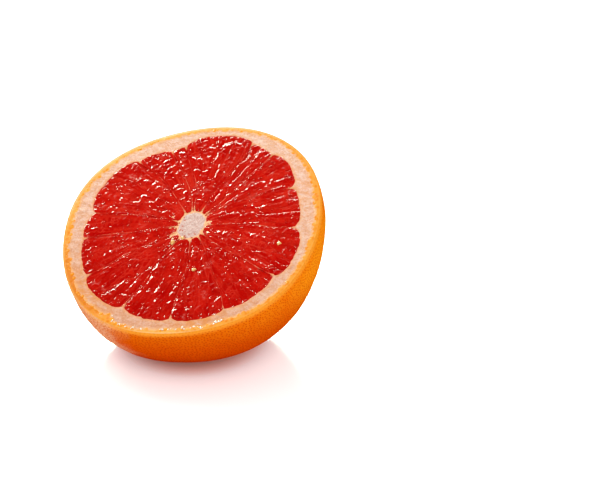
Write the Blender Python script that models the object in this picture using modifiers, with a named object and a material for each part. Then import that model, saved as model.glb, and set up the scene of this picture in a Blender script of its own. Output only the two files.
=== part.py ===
"""Half of a ruby grapefruit, resting on its rind with the cut face tipped towards the viewer.

One solid, as the fruit grew: rind, pith ring, pulp lobes with their juice sacs in relief, membranes,
core, a few stunted seeds and the stem scar under it. Metres, +Z up, origin at the middle of the
footprint box, on the surface that the fruit rests on. The cut face leans towards -Y.

The fruit is worked out in its own frame first: the cut is the plane z = 0, the axis is +Z out of
the cut, and angles run counter-clockwise from +X as seen from above the cut.
"""

import math
import random

import bmesh
import bpy
from mathutils import Matrix, Vector

# Driving dimensions, in metres and radians.
RIM_RADIUS = 0.0548
BELLY_DEPTH = 0.0053
STEM_DEPTH = 0.0548
FULLNESS = 2.08
TILT = math.radians(27.0)
FLAT_DEPTH = 0.0028
RIM_ROUND = 0.0005

# The rim is not quite round: waves to a turn, height in metres, angle of a crest in degrees.
RIM_WAVES = ((1, 0.0004, -101.0), (2, 0.00095, 52.0), (3, 0.00045, 55.0), (4, 0.00085, -25.5), (5, 0.0002, 28.0))

# Each membrane: its angle at the peel, its angle at the core, and how far out its notch reaches.
MEMBRANES = (
    (10.0, 14.0, 0.0430),
    (38.0, 53.0, 0.0436),
    (64.0, 60.0, 0.0466),
    (77.5, 78.0, 0.0470),
    (114.5, 103.0, 0.0428),
    (122.5, 109.0, 0.0417),
    (141.5, 131.5, 0.0439),
    (183.0, 175.0, 0.0426),
    (200.5, 198.0, 0.0450),
    (225.0, 222.5, 0.0467),
    (254.5, 251.5, 0.0455),
    (281.0, 287.0, 0.0458),
    (307.5, 315.0, 0.0460),
    (338.0, 332.0, 0.0452),
)
# How far out the pulp reaches between each membrane and the next.
LOBE_REACH = (
    0.0456, 0.0484, 0.0479, 0.0487, 0.0432, 0.0447, 0.0476,
    0.0457, 0.0473, 0.0493, 0.0482, 0.0482, 0.0476, 0.0480,
)
CORE_RADIUS = 0.0058
PULP_START = 0.0074
CORE_SINK = 0.0009
PITH_SINK = 0.0005

# The relief of a pulp lobe: how deep its edge groove is, how far it swells, and its juice sacs.
GROOVE_DEPTH = 0.0010
SWELL = 0.0005
GROOVE_WIDTH = 0.0026
SAC_SEED = 41
SAC_RISE = 0.0011

# Stunted seeds: distance from the axis, angle, length, and turn of the seed in the cut plane.
SEEDS = (
    (0.0112, 246.7, 0.0030, 20.0),
    (0.0234, 294.3, 0.0026, 80.0),
    (0.0396, -2.4, 0.0028, 10.0),
    (0.0088, -17.7, 0.0026, 60.0),
)
SEED_HEIGHT = 0.0005
SEED_SIDES = 8
SEED_RINGS = 6

# The stem end: a wide shallow dimple with the button's scar in it.
DIMPLE_RADIUS = 0.0095
DIMPLE_DEPTH = 0.0016
SCAR_RADIUS = 0.0042
SCAR_RISE = 0.0012
SCAR_POINTS = 5

# The turned blank: steps to a turn, and the nominal rings that the lobes are warped from.
STEPS = 288
NOMINAL_PULP_END = 0.047
CORE_RINGS = (0.0, 0.0022, 0.0044, CORE_RADIUS)
PULP_RING_COUNT = 14
PITH_RING_COUNT = 2
RIND_RING_COUNT = 15
STEM_RINGS = (0.0098, 0.0072, 0.0054, SCAR_RADIUS, 0.0032, 0.0016, 0.0)
COARSE_STEP = 4
MIDDLE_STEP = 2
MIDDLE_FROM = 0.012
FINE_FROM = 0.021
FINE_UNTIL = 0.048
COARSE_FROM = 0.052
MERGE = 0.00001
SHORTEST_EDGE = 0.0001

RIND_COLOUR = (0.86, 0.30, 0.035, 1.0)
PITH_COLOUR = (0.88, 0.66, 0.47, 1.0)
PULP_COLOUR = (0.58, 0.012, 0.008, 1.0)
CORE_COLOUR = (0.86, 0.74, 0.66, 1.0)


def clear_scene():
    for item in list(bpy.data.objects):
        bpy.data.objects.remove(item, do_unlink=True)


def material(name, colour, roughness):
    made = bpy.data.materials.new(name)
    made.use_nodes = True
    shader = made.node_tree.nodes["Principled BSDF"]
    shader.inputs["Base Color"].default_value = colour
    shader.inputs["Roughness"].default_value = roughness
    shader.inputs["Metallic"].default_value = 0.0
    made.diffuse_color = colour
    return made


def mix(start, end, share):
    return start + (end - start) * share


def smooth(share):
    share = min(1.0, max(0.0, share))
    return share * share * (3.0 - 2.0 * share)


def rim_wave(angle):
    """How far the fruit's outline stands out of round at an angle in radians."""
    return sum(height * math.cos(count * (angle - math.radians(crest))) for count, height, crest in RIM_WAVES)


def face_rim(angle):
    """Radius at which the flat of the cut ends and its edge starts to round over."""
    return RIM_RADIUS - RIM_ROUND + rim_wave(angle)


def round_off(share):
    """The other side of a quarter curve slightly fuller than an ellipse."""
    return max(0.0, 1.0 - abs(share) ** FULLNESS) ** (1.0 / FULLNESS)


def belly_radius():
    """The fruit's widest radius, set so that it has RIM_RADIUS at the cut."""
    return RIM_RADIUS / round_off(BELLY_DEPTH / (STEM_DEPTH - BELLY_DEPTH))


def rind_radius(depth):
    return belly_radius() * round_off((depth - BELLY_DEPTH) / (STEM_DEPTH - BELLY_DEPTH))


def rind_depth(radius):
    """Depth of the rind below the cut at a radius, on the stem side of the belly."""
    return BELLY_DEPTH + (STEM_DEPTH - BELLY_DEPTH) * round_off(min(1.0, radius / belly_radius()))


def stem_relief(radius, angle):
    """Height of the dimple and the scar in it, outwards along the axis."""
    dimple = -DIMPLE_DEPTH * math.exp(-((radius / DIMPLE_RADIUS) ** 2) * 2.0)
    star = SCAR_RADIUS * (1.0 + 0.10 * math.cos(SCAR_POINTS * angle))
    scar = SCAR_RISE * smooth((star * 1.12 - radius) / (0.3 * SCAR_RADIUS))
    middle = -0.4 * SCAR_RISE * smooth(1.0 - radius / (0.5 * SCAR_RADIUS))
    return dimple + scar + middle


def membrane_angle(index, along):
    """A membrane's angle in degrees, from the core (along 0) to the peel (along 1)."""
    peel_angle, core_angle, _ = MEMBRANES[index % len(MEMBRANES)]
    turn = 360.0 * (index // len(MEMBRANES))
    return turn + mix(core_angle, peel_angle, smooth(along) * 0.4 + along * 0.6)


def lobe_width(index):
    return MEMBRANES[(index + 1) % len(MEMBRANES)][0] + 360.0 * ((index + 1) // len(MEMBRANES)) - MEMBRANES[index][0]


def lobe_edge(index, across):
    """Radius where the pulp of a lobe meets the pith, from one membrane (0) to the next (1)."""
    notch = MEMBRANES[index][2]
    next_notch = MEMBRANES[(index + 1) % len(MEMBRANES)][2]
    bulge = LOBE_REACH[index] - 0.5 * (notch + next_notch)
    round_end = math.sqrt(1.0 - abs(2.0 * across - 1.0) ** 3.2)
    return mix(notch, next_notch, across) + bulge * round_end


def lobe_start(index, across):
    """Radius where the pulp of a lobe starts, with a point of core reaching out along each membrane."""
    return PULP_START + 0.0012 * abs(2.0 * across - 1.0) ** 3


class Sac:
    """A juice sac: a long drop lying in the lobe, its round head towards the peel."""

    def __init__(self, across, head, length, width, level):
        self.across = across
        self.head = head
        self.length = length
        self.width = width
        self.level = level

    def height(self, across_gap, along):
        """Height over the lobe's bed at a sideways gap in metres and a distance along in metres."""
        share = (self.head - along) / self.length
        if share <= -0.12 or share >= 1.0:
            return 0.0
        blunt = math.sqrt(max(0.0, min(1.0, (share + 0.12) / 0.26)))
        half = 0.5 * self.width * blunt * (1.0 - max(0.0, share - 0.15) ** 1.6)
        if half <= 0.0 or abs(across_gap) >= half:
            return 0.0
        return self.level * math.sqrt(1.0 - (across_gap / half) ** 2) * min(1.0, half / (0.32 * self.width))


def lobe_sacs(index):
    """The sacs of one lobe, drawn row by row from the peel towards the core."""
    draw = random.Random(SAC_SEED + index)
    length = LOBE_REACH[index] - PULP_START
    sacs = []
    along = length + 0.0003
    row = 0
    while along > 0.004:
        radius = PULP_START + along
        wide = radius * math.radians(lobe_width(index))
        count = max(1, round(wide / 0.0036))
        for place in range(count):
            across = (place + 0.5 + 0.5 * (row % 2) * (1 if count > 1 else 0) + draw.uniform(-0.2, 0.2)) / count
            sac_length = mix(0.009, 0.019, draw.random()) * mix(0.5, 1.0, along / length)
            width = wide / count * mix(1.05, 1.5, draw.random())
            level = SAC_RISE * mix(0.62, 1.0, draw.random())
            sacs.append(Sac(across % 1.0, along + draw.uniform(-0.0012, 0.0008), sac_length, width, level))
        along -= mix(0.0042, 0.0056, draw.random())
        row += 1
    return sacs


def pulp_relief(index, across, along, wide, sacs):
    """Height of the pulp over the cut plane: a pillow with a groove round it, and the sacs on it."""
    length = LOBE_REACH[index] - PULP_START
    side = min(across, 1.0 - across) * wide
    end = (1.0 - along) * length
    start = along * length
    pillow = smooth(side / GROOVE_WIDTH) * smooth(end / GROOVE_WIDTH) * smooth(start / GROOVE_WIDTH)
    highest = max(sac.height((sac.across - across) * wide, along * length) for sac in sacs)
    return mix(-GROOVE_DEPTH, SWELL, pillow) - 0.5 * SAC_RISE * pillow + highest * mix(0.25, 1.0, pillow)


def steps_per_lobe():
    """Shares the turned blank's steps out among the lobes, in whole groups of COARSE_STEP."""
    groups = STEPS // COARSE_STEP
    shares = [lobe_width(i) / 360.0 * groups for i in range(len(MEMBRANES))]
    counts = [max(1, round(share)) for share in shares]
    while sum(counts) != groups:
        error = sum(counts) - groups
        worst = max(range(len(counts)), key=lambda i: (counts[i] - shares[i]) * error)
        counts[worst] -= 1 if error > 0 else -1
    return [count * COARSE_STEP for count in counts]


def lobe_of_step(step, counts):
    """The lobe that a step of the blank falls in, and how far across it."""
    step = step % STEPS
    for index, count in enumerate(counts):
        if step < count:
            return index, step / count
        step -= count
    raise ValueError("the steps of the lobes do not add up to a turn")


def blank_profile():
    """The turned blank: out along the cut face, round the rim and down the rind to the stem."""
    rings = [Vector((radius, 0.0, 0.0)) for radius in CORE_RINGS]
    for ring in range(PULP_RING_COUNT + 1):
        rings.append(Vector((mix(PULP_START, NOMINAL_PULP_END, ring / PULP_RING_COUNT), 0.0, 0.0)))
    last = RIM_RADIUS - RIM_ROUND
    for ring in range(1, PITH_RING_COUNT + 1):
        rings.append(Vector((mix(NOMINAL_PULP_END, last, ring / PITH_RING_COUNT), 0.0, 0.0)))
    steepest = math.asin(BELLY_DEPTH / (STEM_DEPTH - BELLY_DEPTH))
    stem_angle = math.acos(STEM_RINGS[0] / belly_radius())
    for ring in range(RIND_RING_COUNT + 1):
        angle = mix(-steepest, stem_angle, ring / RIND_RING_COUNT)
        depth = max(RIM_ROUND, BELLY_DEPTH + (STEM_DEPTH - BELLY_DEPTH) * math.sin(angle))
        rings.append(Vector((rind_radius(depth), 0.0, -depth)))
    for radius in STEM_RINGS[1:]:
        rings.append(Vector((radius, 0.0, -rind_depth(radius))))
    return rings


def turned_blank(name, collection):
    """Turns the blank's profile with a Screw modifier and returns it as a plain mesh object."""
    rings = blank_profile()
    mesh = bpy.data.meshes.new(name + "_profile")
    mesh.from_pydata(rings, [(i, i + 1) for i in range(len(rings) - 1)], [])
    profile = bpy.data.objects.new(name + "_profile", mesh)
    collection.objects.link(profile)
    screw = profile.modifiers.new("Turn", "SCREW")
    screw.axis = "Z"
    screw.steps = STEPS
    screw.render_steps = STEPS
    screw.use_merge_vertices = True
    screw.merge_threshold = MERGE
    evaluated = profile.evaluated_get(bpy.context.evaluated_depsgraph_get())
    turned = bpy.data.objects.new(name, bpy.data.meshes.new_from_object(evaluated))
    collection.objects.link(turned)
    bpy.data.objects.remove(profile, do_unlink=True)
    return turned


def face_place(radius, step, counts, sacs):
    """Where a point of the blank's cut face goes, in the fruit's own frame."""
    index, across = lobe_of_step(step, counts)
    start = lobe_start(index, across)
    end = lobe_edge(index, across)
    pulp_share = (radius - PULP_START) / (NOMINAL_PULP_END - PULP_START)
    along = min(1.0, max(0.0, pulp_share))
    angle = math.radians(mix(membrane_angle(index, along), membrane_angle(index + 1, along), across))
    if radius <= CORE_RADIUS + MERGE:
        reach = radius
        height = -CORE_SINK * smooth(radius / CORE_RADIUS * 1.4)
    elif pulp_share <= 1.0 + MERGE:
        reach = mix(start, end, along)
        wide = reach * (math.radians(membrane_angle(index + 1, along)) - math.radians(membrane_angle(index, along)))
        height = pulp_relief(index, across, along, wide, sacs[index])
    else:
        share = (radius - NOMINAL_PULP_END) / (RIM_RADIUS - RIM_ROUND - NOMINAL_PULP_END)
        reach = mix(end, face_rim(angle), share)
        height = -PITH_SINK * (1.0 - smooth(share))
    return Vector((reach * math.cos(angle), reach * math.sin(angle), height))


def rind_place(radius, depth, step, counts):
    """Where a point of the blank's rind goes, in the fruit's own frame."""
    index, across = lobe_of_step(step, counts)
    angle = math.radians(mix(membrane_angle(index, 1.0), membrane_angle(index + 1, 1.0), across))
    reach = radius + rim_wave(angle) * smooth(radius / RIM_RADIUS)
    height = -depth - stem_relief(radius, angle)
    return Vector((reach * math.cos(angle), reach * math.sin(angle), height))


def keeps_step(step, radius, on_rind):
    """True if the mesh needs this step of the turn there: fine in the outer pulp, coarse elsewhere."""
    if on_rind or radius < MIDDLE_FROM or radius > COARSE_FROM:
        return step % COARSE_STEP == 0
    if radius < FINE_FROM or radius > FINE_UNTIL:
        return step % MIDDLE_STEP == 0
    return True


def shape_fruit(turned):
    """Warps the blank into lobes, waves and relief, and thins its steps where the form is plain."""
    counts = steps_per_lobe()
    sacs = [lobe_sacs(index) for index in range(len(MEMBRANES))]
    bm = bmesh.new()
    bm.from_mesh(turned.data)
    steps = bm.verts.layers.int.new("step")
    blank = {}
    for vert in bm.verts:
        radius = math.hypot(vert.co.x, vert.co.y)
        turn = math.atan2(vert.co.y, vert.co.x) / math.tau % 1.0
        vert[steps] = round(turn * STEPS) % STEPS if radius > MERGE else -1
        blank[vert] = (radius, -vert.co.z)
    spare = []
    for edge in bm.edges:
        low, high = edge.verts
        if low[steps] != high[steps] or low[steps] < 0:
            continue
        radius = max(blank[low][0], blank[high][0])
        on_rind = max(blank[low][1], blank[high][1]) > 0.5 * RIM_ROUND
        if not keeps_step(low[steps], radius, on_rind):
            spare.append(edge)
    for edge in bm.edges:
        ends = [vert[steps] for vert in edge.verts]
        if -1 in ends and max(ends) % COARSE_STEP:
            spare.append(edge)
    for vert, (radius, depth) in blank.items():
        step = max(0, vert[steps])
        if depth < 0.5 * RIM_ROUND:
            vert.co = face_place(radius, step, counts, sacs)
        else:
            vert.co = rind_place(radius, depth, step, counts)
    bmesh.ops.dissolve_edges(bm, edges=list(set(spare)), use_verts=True)
    bmesh.ops.triangulate(bm, faces=bm.faces)
    bmesh.ops.recalc_face_normals(bm, faces=bm.faces)
    bm.to_mesh(turned.data)
    bm.free()


def make_seeds(collection):
    """The stunted seeds, pointed little drops sunk half into the pulp."""
    for number, (reach, angle, length, turn) in enumerate(SEEDS):
        bpy.ops.mesh.primitive_uv_sphere_add(segments=SEED_SIDES, ring_count=SEED_RINGS, radius=0.5 * length)
        seed = bpy.context.active_object
        seed.name = f"seed_{number + 1}"
        for vert in seed.data.vertices:
            point = vert.co.z / (0.5 * length)
            vert.co.x *= 0.62 * (1.0 - 0.3 * point)
            vert.co.y *= 0.62 * (1.0 - 0.3 * point)
        place = Matrix.Rotation(math.radians(angle), 4, "Z") @ Matrix.Translation((reach, 0.0, SEED_HEIGHT))
        lie = Matrix.Rotation(math.radians(turn), 4, "Z") @ Matrix.Rotation(math.radians(83.0), 4, "Y")
        seed.data.transform(place @ lie)
        for owner in list(seed.users_collection):
            owner.objects.unlink(seed)
        collection.objects.link(seed)


def fuse(body, collection):
    """Joins every object of the collection into the body with one Boolean union, and removes them."""
    join = body.modifiers.new("Fuse", "BOOLEAN")
    join.operation = "UNION"
    join.operand_type = "COLLECTION"
    join.collection = collection
    join.solver = "EXACT"
    evaluated = body.evaluated_get(bpy.context.evaluated_depsgraph_get())
    fused = bpy.data.meshes.new_from_object(evaluated)
    body.modifiers.clear()
    body.data = fused
    bm = bmesh.new()
    bm.from_mesh(fused)
    bmesh.ops.dissolve_degenerate(bm, dist=SHORTEST_EDGE, edges=bm.edges)
    bmesh.ops.triangulate(bm, faces=bm.faces)
    bm.to_mesh(fused)
    bm.free()
    for item in list(collection.objects):
        bpy.data.objects.remove(item, do_unlink=True)
    bpy.data.collections.remove(collection)


def set_down(body):
    """Tips the fruit, presses a small flat where it rests, and centres its footprint box."""
    body.data.transform(Matrix.Rotation(TILT, 4, "X"))
    bm = bmesh.new()
    bm.from_mesh(body.data)
    floor = min(vert.co.z for vert in bm.verts) + FLAT_DEPTH
    everything = bm.verts[:] + bm.edges[:] + bm.faces[:]
    cut = bmesh.ops.bisect_plane(
        bm, geom=everything, dist=2.0 * SHORTEST_EDGE, use_snap_center=True,
        plane_co=(0.0, 0.0, floor), plane_no=(0.0, 0.0, -1.0), clear_outer=True,
    )
    rim = [item for item in cut["geom_cut"] if isinstance(item, bmesh.types.BMEdge)]
    bmesh.ops.contextual_create(bm, geom=rim)
    bmesh.ops.recalc_face_normals(bm, faces=bm.faces)
    middle = [0.5 * (min(v.co[i] for v in bm.verts) + max(v.co[i] for v in bm.verts)) for i in (0, 1)]
    bmesh.ops.translate(bm, verts=bm.verts, vec=(-middle[0], -middle[1], -floor))
    bm.to_mesh(body.data)
    bm.free()
    return Vector((-middle[0], -middle[1], -floor))


def paint(body, shift):
    """Gives each face the colour of its tissue: rind, pith, pulp or core."""
    for colour in (
        material("rind", RIND_COLOUR, 0.42),
        material("pith", PITH_COLOUR, 0.7),
        material("pulp", PULP_COLOUR, 0.2),
        material("core", CORE_COLOUR, 0.8),
    ):
        body.data.materials.append(colour)
    untip = Matrix.Rotation(-TILT, 4, "X") @ Matrix.Translation(-shift)
    for face in body.data.polygons:
        middle = untip @ face.center
        reach = math.hypot(middle.x, middle.y)
        angle = math.atan2(middle.y, middle.x)
        turn = MEMBRANES[0][0] + (math.degrees(angle) - MEMBRANES[0][0]) % 360.0
        index = max(number for number, membrane in enumerate(MEMBRANES) if membrane[0] <= turn)
        across = (turn - MEMBRANES[index][0]) / lobe_width(index)
        if middle.z < -2.5 * GROOVE_DEPTH or reach > face_rim(angle):
            face.material_index = 0
        elif reach > lobe_edge(index, across):
            face.material_index = 1
        else:
            face.material_index = 2 if reach > PULP_START else 3
    body.data.shade_smooth()
    body.data.set_sharp_from_angle(angle=math.radians(50.0))
    for edge in body.data.edges:
        if all(body.data.vertices[corner].co.z < MERGE for corner in edge.vertices):
            edge.use_edge_sharp = True


def main():
    clear_scene()
    fruit = bpy.data.collections.new("grapefruit")
    seeds = bpy.data.collections.new("seeds")
    for collection in (fruit, seeds):
        bpy.context.scene.collection.children.link(collection)
    body = turned_blank("grapefruit_half", fruit)
    shape_fruit(body)
    make_seeds(seeds)
    fuse(body, seeds)
    shift = set_down(body)
    paint(body, shift)


main()
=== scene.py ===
"""Dresses a ruby grapefruit half: peel with its oil pores, pith, lobes full of juice sacs, and core.

The fruit is worked out in its own frame first: the cut is the plane z = 0, the axis is +Z out of
the cut, and angles run counter-clockwise from +X as seen from above the cut. Sizes are in metres.
"""

import math

import bmesh
import bpy
import numpy as np
from mathutils import Matrix, Vector


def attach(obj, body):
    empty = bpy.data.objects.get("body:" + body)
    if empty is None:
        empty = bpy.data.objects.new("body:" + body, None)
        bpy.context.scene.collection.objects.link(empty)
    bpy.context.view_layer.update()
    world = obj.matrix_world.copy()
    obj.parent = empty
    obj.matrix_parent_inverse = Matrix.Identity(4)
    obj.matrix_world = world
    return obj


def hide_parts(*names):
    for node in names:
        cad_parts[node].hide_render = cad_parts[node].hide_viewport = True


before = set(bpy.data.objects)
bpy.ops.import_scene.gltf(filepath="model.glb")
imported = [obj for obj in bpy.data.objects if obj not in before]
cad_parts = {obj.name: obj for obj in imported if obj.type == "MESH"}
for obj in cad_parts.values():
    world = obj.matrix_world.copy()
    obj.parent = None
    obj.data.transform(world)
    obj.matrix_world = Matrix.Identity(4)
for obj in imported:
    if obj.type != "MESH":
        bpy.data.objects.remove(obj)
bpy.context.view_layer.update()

bl_info = {
    "name": "Ruby Grapefruit Half",
    "version": (1, 0, 0),
    "blender": (4, 5, 0),
    "location": "View3D > Sidebar > Grapefruit",
    "description": "Builds the visible pieces of a halved red grapefruit around its solid",
    "category": "Add Mesh",
}

NODE = "grapefruit_half"
BODY = "root"

# How the fruit lies: the tilt of its cut face, and where the middle of the cut is.
TILT = math.radians(27.0)
FACE_CENTRE = np.array((0.000678, -0.003785, 0.053268))

# The fruit's main form, as in the solid.
RIM_RADIUS = 0.0548
BELLY_DEPTH = 0.0053
STEM_DEPTH = 0.0548
FULLNESS = 2.08
RIM_ROUND = 0.0005
# The rim is not quite round: waves to a turn, their height, and the angle of a crest in degrees.
RIM_WAVES = (
    (1, 0.0004, -101.0), (2, 0.00095, 52.0), (3, 0.00045, 55.0), (4, 0.00085, -25.5), (5, 0.0002, 28.0),
)
# Each membrane: its angle at the peel and at the core, its notch in the pulp's edge, and how much it glints.
MEMBRANES = (
    (10.0, 14.0, 0.0430, 0.2),
    (38.0, 53.0, 0.0436, 0.1),
    (64.0, 60.0, 0.0466, 0.5),
    (77.5, 78.0, 0.0470, 1.0),
    (114.5, 103.0, 0.0428, 0.2),
    (122.5, 109.0, 0.0417, 0.2),
    (141.5, 131.5, 0.0439, 0.1),
    (183.0, 175.0, 0.0426, 0.3),
    (200.5, 198.0, 0.0450, 0.4),
    (225.0, 222.5, 0.0467, 1.0),
    (254.5, 251.5, 0.0455, 1.0),
    (281.0, 287.0, 0.0458, 0.9),
    (307.5, 315.0, 0.0460, 0.3),
    (338.0, 332.0, 0.0452, 1.0),
)
# How far out the pulp reaches between each membrane and the next.
LOBE_REACH = (
    0.0456, 0.0484, 0.0479, 0.0487, 0.0432, 0.0447, 0.0476,
    0.0457, 0.0473, 0.0493, 0.0482, 0.0482, 0.0476, 0.0480,
)
LOBE_COUNT = len(MEMBRANES)
# Radius at which the pulp starts, and how far in degrees a membrane bends out of its line.
PULP_START = 0.0069
MEMBRANE_BEND = 1.2
# Half the gap between two lobes, in which their membrane stands, the points along a membrane, and the
# size at which the section of its crest is drawn.
LOBE_WALL = 0.00009
MEMBRANE_STEPS = 190
CREST_SIZE = 0.0005
# How far the pieces of the cut reach down into the fruit.
PIECE_DEPTH = 0.0030
# Each seed: how far out it lies, its angle, its length, its turn, and its middle's height over the cut.
SEEDS = (
    (0.0112, 246.7, 0.0025, 20.0, 0.00018),
    (0.0234, 294.3, 0.0020, 80.0, 0.00014),
    (0.0396, -2.4, 0.0020, 10.0, 0.00010),
    (0.0084, -15.0, 0.0024, 60.0, -0.00052),
    (0.0072, 262.0, 0.0016, 40.0, 0.00020),
)

# What changes round the fruit. Each row: an angle, how much more there, and half its span in degrees.
# How far in the coloured skin reaches on the cut.
SKIN_BAYS = (
    (198.5, 0.0013, 1.8), (203.5, -0.0008, 2.2), (212.5, 0.0008, 2.0), (220.0, 0.0006, 2.6),
    (228.0, -0.0004, 3.0), (246.0, 0.0011, 5.0), (251.6, 0.0015, 1.7), (258.0, -0.0006, 2.5),
    (270.0, -0.0006, 9.0), (292.0, -0.0004, 8.0), (30.0, 0.0007, 12.0), (85.0, -0.0003, 18.0),
)
# How many sacs stand proud, and how knotted the pulp is.
PROUD_LOBES = ((90.0, 0.11, 55.0), (12.0, 0.12, 30.0), (228.0, -0.11, 40.0), (272.0, 0.08, 20.0))
KNOTTED_LOBES = ((90.0, 0.20, 55.0), (5.0, 0.34, 32.0), (268.0, 0.45, 28.0), (180.0, 0.06, 30.0))
# How pale (up to 1) or deep (down to -1) the cut skin is.
SKIN_TONE = (
    (135.0, 1.0, 38.0), (85.0, 0.45, 22.0), (182.0, 0.35, 12.0), (228.0, -1.0, 22.0), (278.0, 0.6, 20.0),
)
# How far the pith is stained with oil.
PITH_WARMTH = ((234.0, 0.8, 14.0), (294.0, 0.8, 14.0), (33.0, 0.4, 10.0))

# The dimple at the stem, and the scar in it.
DIMPLE_RADIUS = 0.0095
DIMPLE_DEPTH = 0.0016
SCAR_RADIUS = 0.0042
SCAR_RISE = 0.0012
SCAR_POINTS = 5

# The peel: steps to a turn at its widest, halved each time the fruit narrows, the gap between its rings,
# and its thickness.
PEEL_STEPS = 704
PEEL_RING_GAP = 0.00052
PEEL_THICKNESS = 0.0022
# Points to the quarter round of the rim's edge, and the radius inside which a ring is one point.
RIM_CORNER_POINTS = 5
POLE_RADIUS = 0.0003
# Rings of the peel's inside: how far each is from the stem (0) to the rim (1), and its steps to a turn.
# The last one lies this far round from the stem, in radians.
LINING_RINGS = ((0.12, 22), (0.3, 44), (0.5, 88), (0.7, 88), (0.85, 88), (0.95, 176), (1.0, 352))
LINING_SWING = 1.47

# The pith's level on the cut, and the width of its outer part, which has finer rows.
PITH_LEVEL = -0.00008
PITH_FINE_PART = 0.0036

# How many oil glands the knife opened, how many drops stand on the peel and in front of the core, and
# the seeds of their random draws.
GLAND_COUNT = 150
PEEL_DROP_COUNT = 34
CORE_DROP_COUNT = 14
GLAND_SEED = 77
PEEL_DROP_SEED = 78
# Least and greatest scale of their bubbles, and of the juice beads, on a bubble's own x, y and z.
GLAND_SCALES = ((0.8, 0.7, 0.26), (1.1, 1.0, 0.38))
PEEL_DROP_SCALES = ((0.9, 0.6, 0.35), (1.6, 1.0, 0.55))
BEAD_SCALES = ((0.9, 0.7, 0.30), (2.0, 1.0, 0.45))

# The core: radius of its sponge, and of the whole piece, which runs out under the lobes.
SPONGE_RADIUS = 0.0059
CORE_RADIUS = 0.0102
# Rings of each small round form, and the steps to a turn of each.
CORE_RINGS = 46
CORE_STEPS = 176
SEED_RINGS = 18
SEED_STEPS = 24
SCAR_RINGS = 26
SCAR_STEPS = 96

# Juice sacs, least and greatest: gap from one row to the next, length near the peel, width, bend, and the
# level and bulge of those that stand proud and of the others. A bulge is a share of half the width.
SAC_ROW_GAP = (0.0024, 0.0040)
SAC_LENGTH = (0.009, 0.022)
SAC_WIDTH = (0.0019, 0.0042)
SAC_BEND = (-0.0013, 0.0013)
PROUD_LEVEL = (-0.00012, 0.0)
PROUD_BULGE = (0.20, 0.31)
PLAIN_LEVEL = (-0.00026, -0.00012)
PLAIN_BULGE = (0.03, 0.11)
# The seed of their random draws, and the grid on which a lobe's sacs are laid: its step, its margin round
# the lobe, and its level where no sac lies.
SAC_SEED = 57
FIELD_STEP = 0.0001
FIELD_MARGIN = 0.0012
PULP_FLOOR = -0.0004


def mix(start, end, share):
    return start + (end - start) * share


def smooth(share):
    share = np.clip(share, 0.0, 1.0)
    return share * share * (3.0 - 2.0 * share)


def full_turn(steps):
    return np.arange(steps) * (2.0 * math.pi / steps)


def polar(reach, angle, height):
    """Points at a distance from the axis, an angle round it and a height."""
    reach, angle, height = np.broadcast_arrays(reach, angle, height)
    return np.stack((reach * np.cos(angle), reach * np.sin(angle), height), axis=-1)


def lattice_noise(points, size, seed):
    """Smooth noise from -1 to 1 at points, with bumps about one size across."""
    scaled = np.asarray(points) / size
    base = np.floor(scaled).astype(np.int64)
    part = scaled - base
    part = part * part * (3.0 - 2.0 * part)
    total = np.zeros(len(scaled))
    for corner in range(8):
        offset = np.array((corner & 1, corner >> 1 & 1, corner >> 2))
        cell = base + offset
        mixed = cell[:, 0] * 73856093 ^ cell[:, 1] * 19349663 ^ cell[:, 2] * 83492791 ^ seed * 2654435
        mixed = (mixed ^ (mixed >> 13)) * 1274126177
        value = ((mixed ^ (mixed >> 16)) & 0xFFFF) / 32767.5 - 1.0
        total += np.where(offset == 1, part, 1.0 - part).prod(axis=1) * value
    return total


def placed(points):
    """Takes points from the fruit's own frame to where the fruit lies."""
    x, y, z = np.asarray(points, dtype=float).T
    up = y * math.sin(TILT) + z * math.cos(TILT)
    return np.stack((x, y * math.cos(TILT) - z * math.sin(TILT), up), axis=1) + FACE_CENTRE


def rim_wave(angle):
    return sum(height * np.cos(count * (angle - math.radians(crest))) for count, height, crest in RIM_WAVES)


def face_rim(angle):
    return RIM_RADIUS - RIM_ROUND + rim_wave(angle)


def round_off(share):
    return np.maximum(0.0, 1.0 - np.abs(share) ** FULLNESS) ** (1.0 / FULLNESS)


def belly_radius():
    return RIM_RADIUS / round_off(BELLY_DEPTH / (STEM_DEPTH - BELLY_DEPTH))


def membrane_angle(index, along):
    """A membrane's angle in radians, from the core (along 0) to the peel (along 1)."""
    number = index % LOBE_COUNT
    peel_angle, core_angle = MEMBRANES[number][:2]
    turn = 360.0 * (index // LOBE_COUNT)
    bend = MEMBRANE_BEND * np.sin(2.3 * number + 5.6 * along) * np.clip(4.0 * along * (1.0 - along), 0.0, 1.0)
    return np.radians(turn + mix(core_angle, peel_angle, smooth(along) * 0.4 + along * 0.6) + bend)


def lobe_middle(index):
    """The angle of a lobe's middle line, half way out."""
    return 0.5 * (membrane_angle(index, 0.5) + membrane_angle(index + 1, 0.5))


def bays(angle, rows):
    """Adds up soft swells round the fruit, each with its middle and half its span in degrees."""
    total = np.zeros_like(angle)
    for middle, extra, span in rows:
        turn = (np.degrees(angle) - middle + 180.0) % 360.0 - 180.0
        total += extra * np.exp(-((turn / span) ** 2))
    return total


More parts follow.
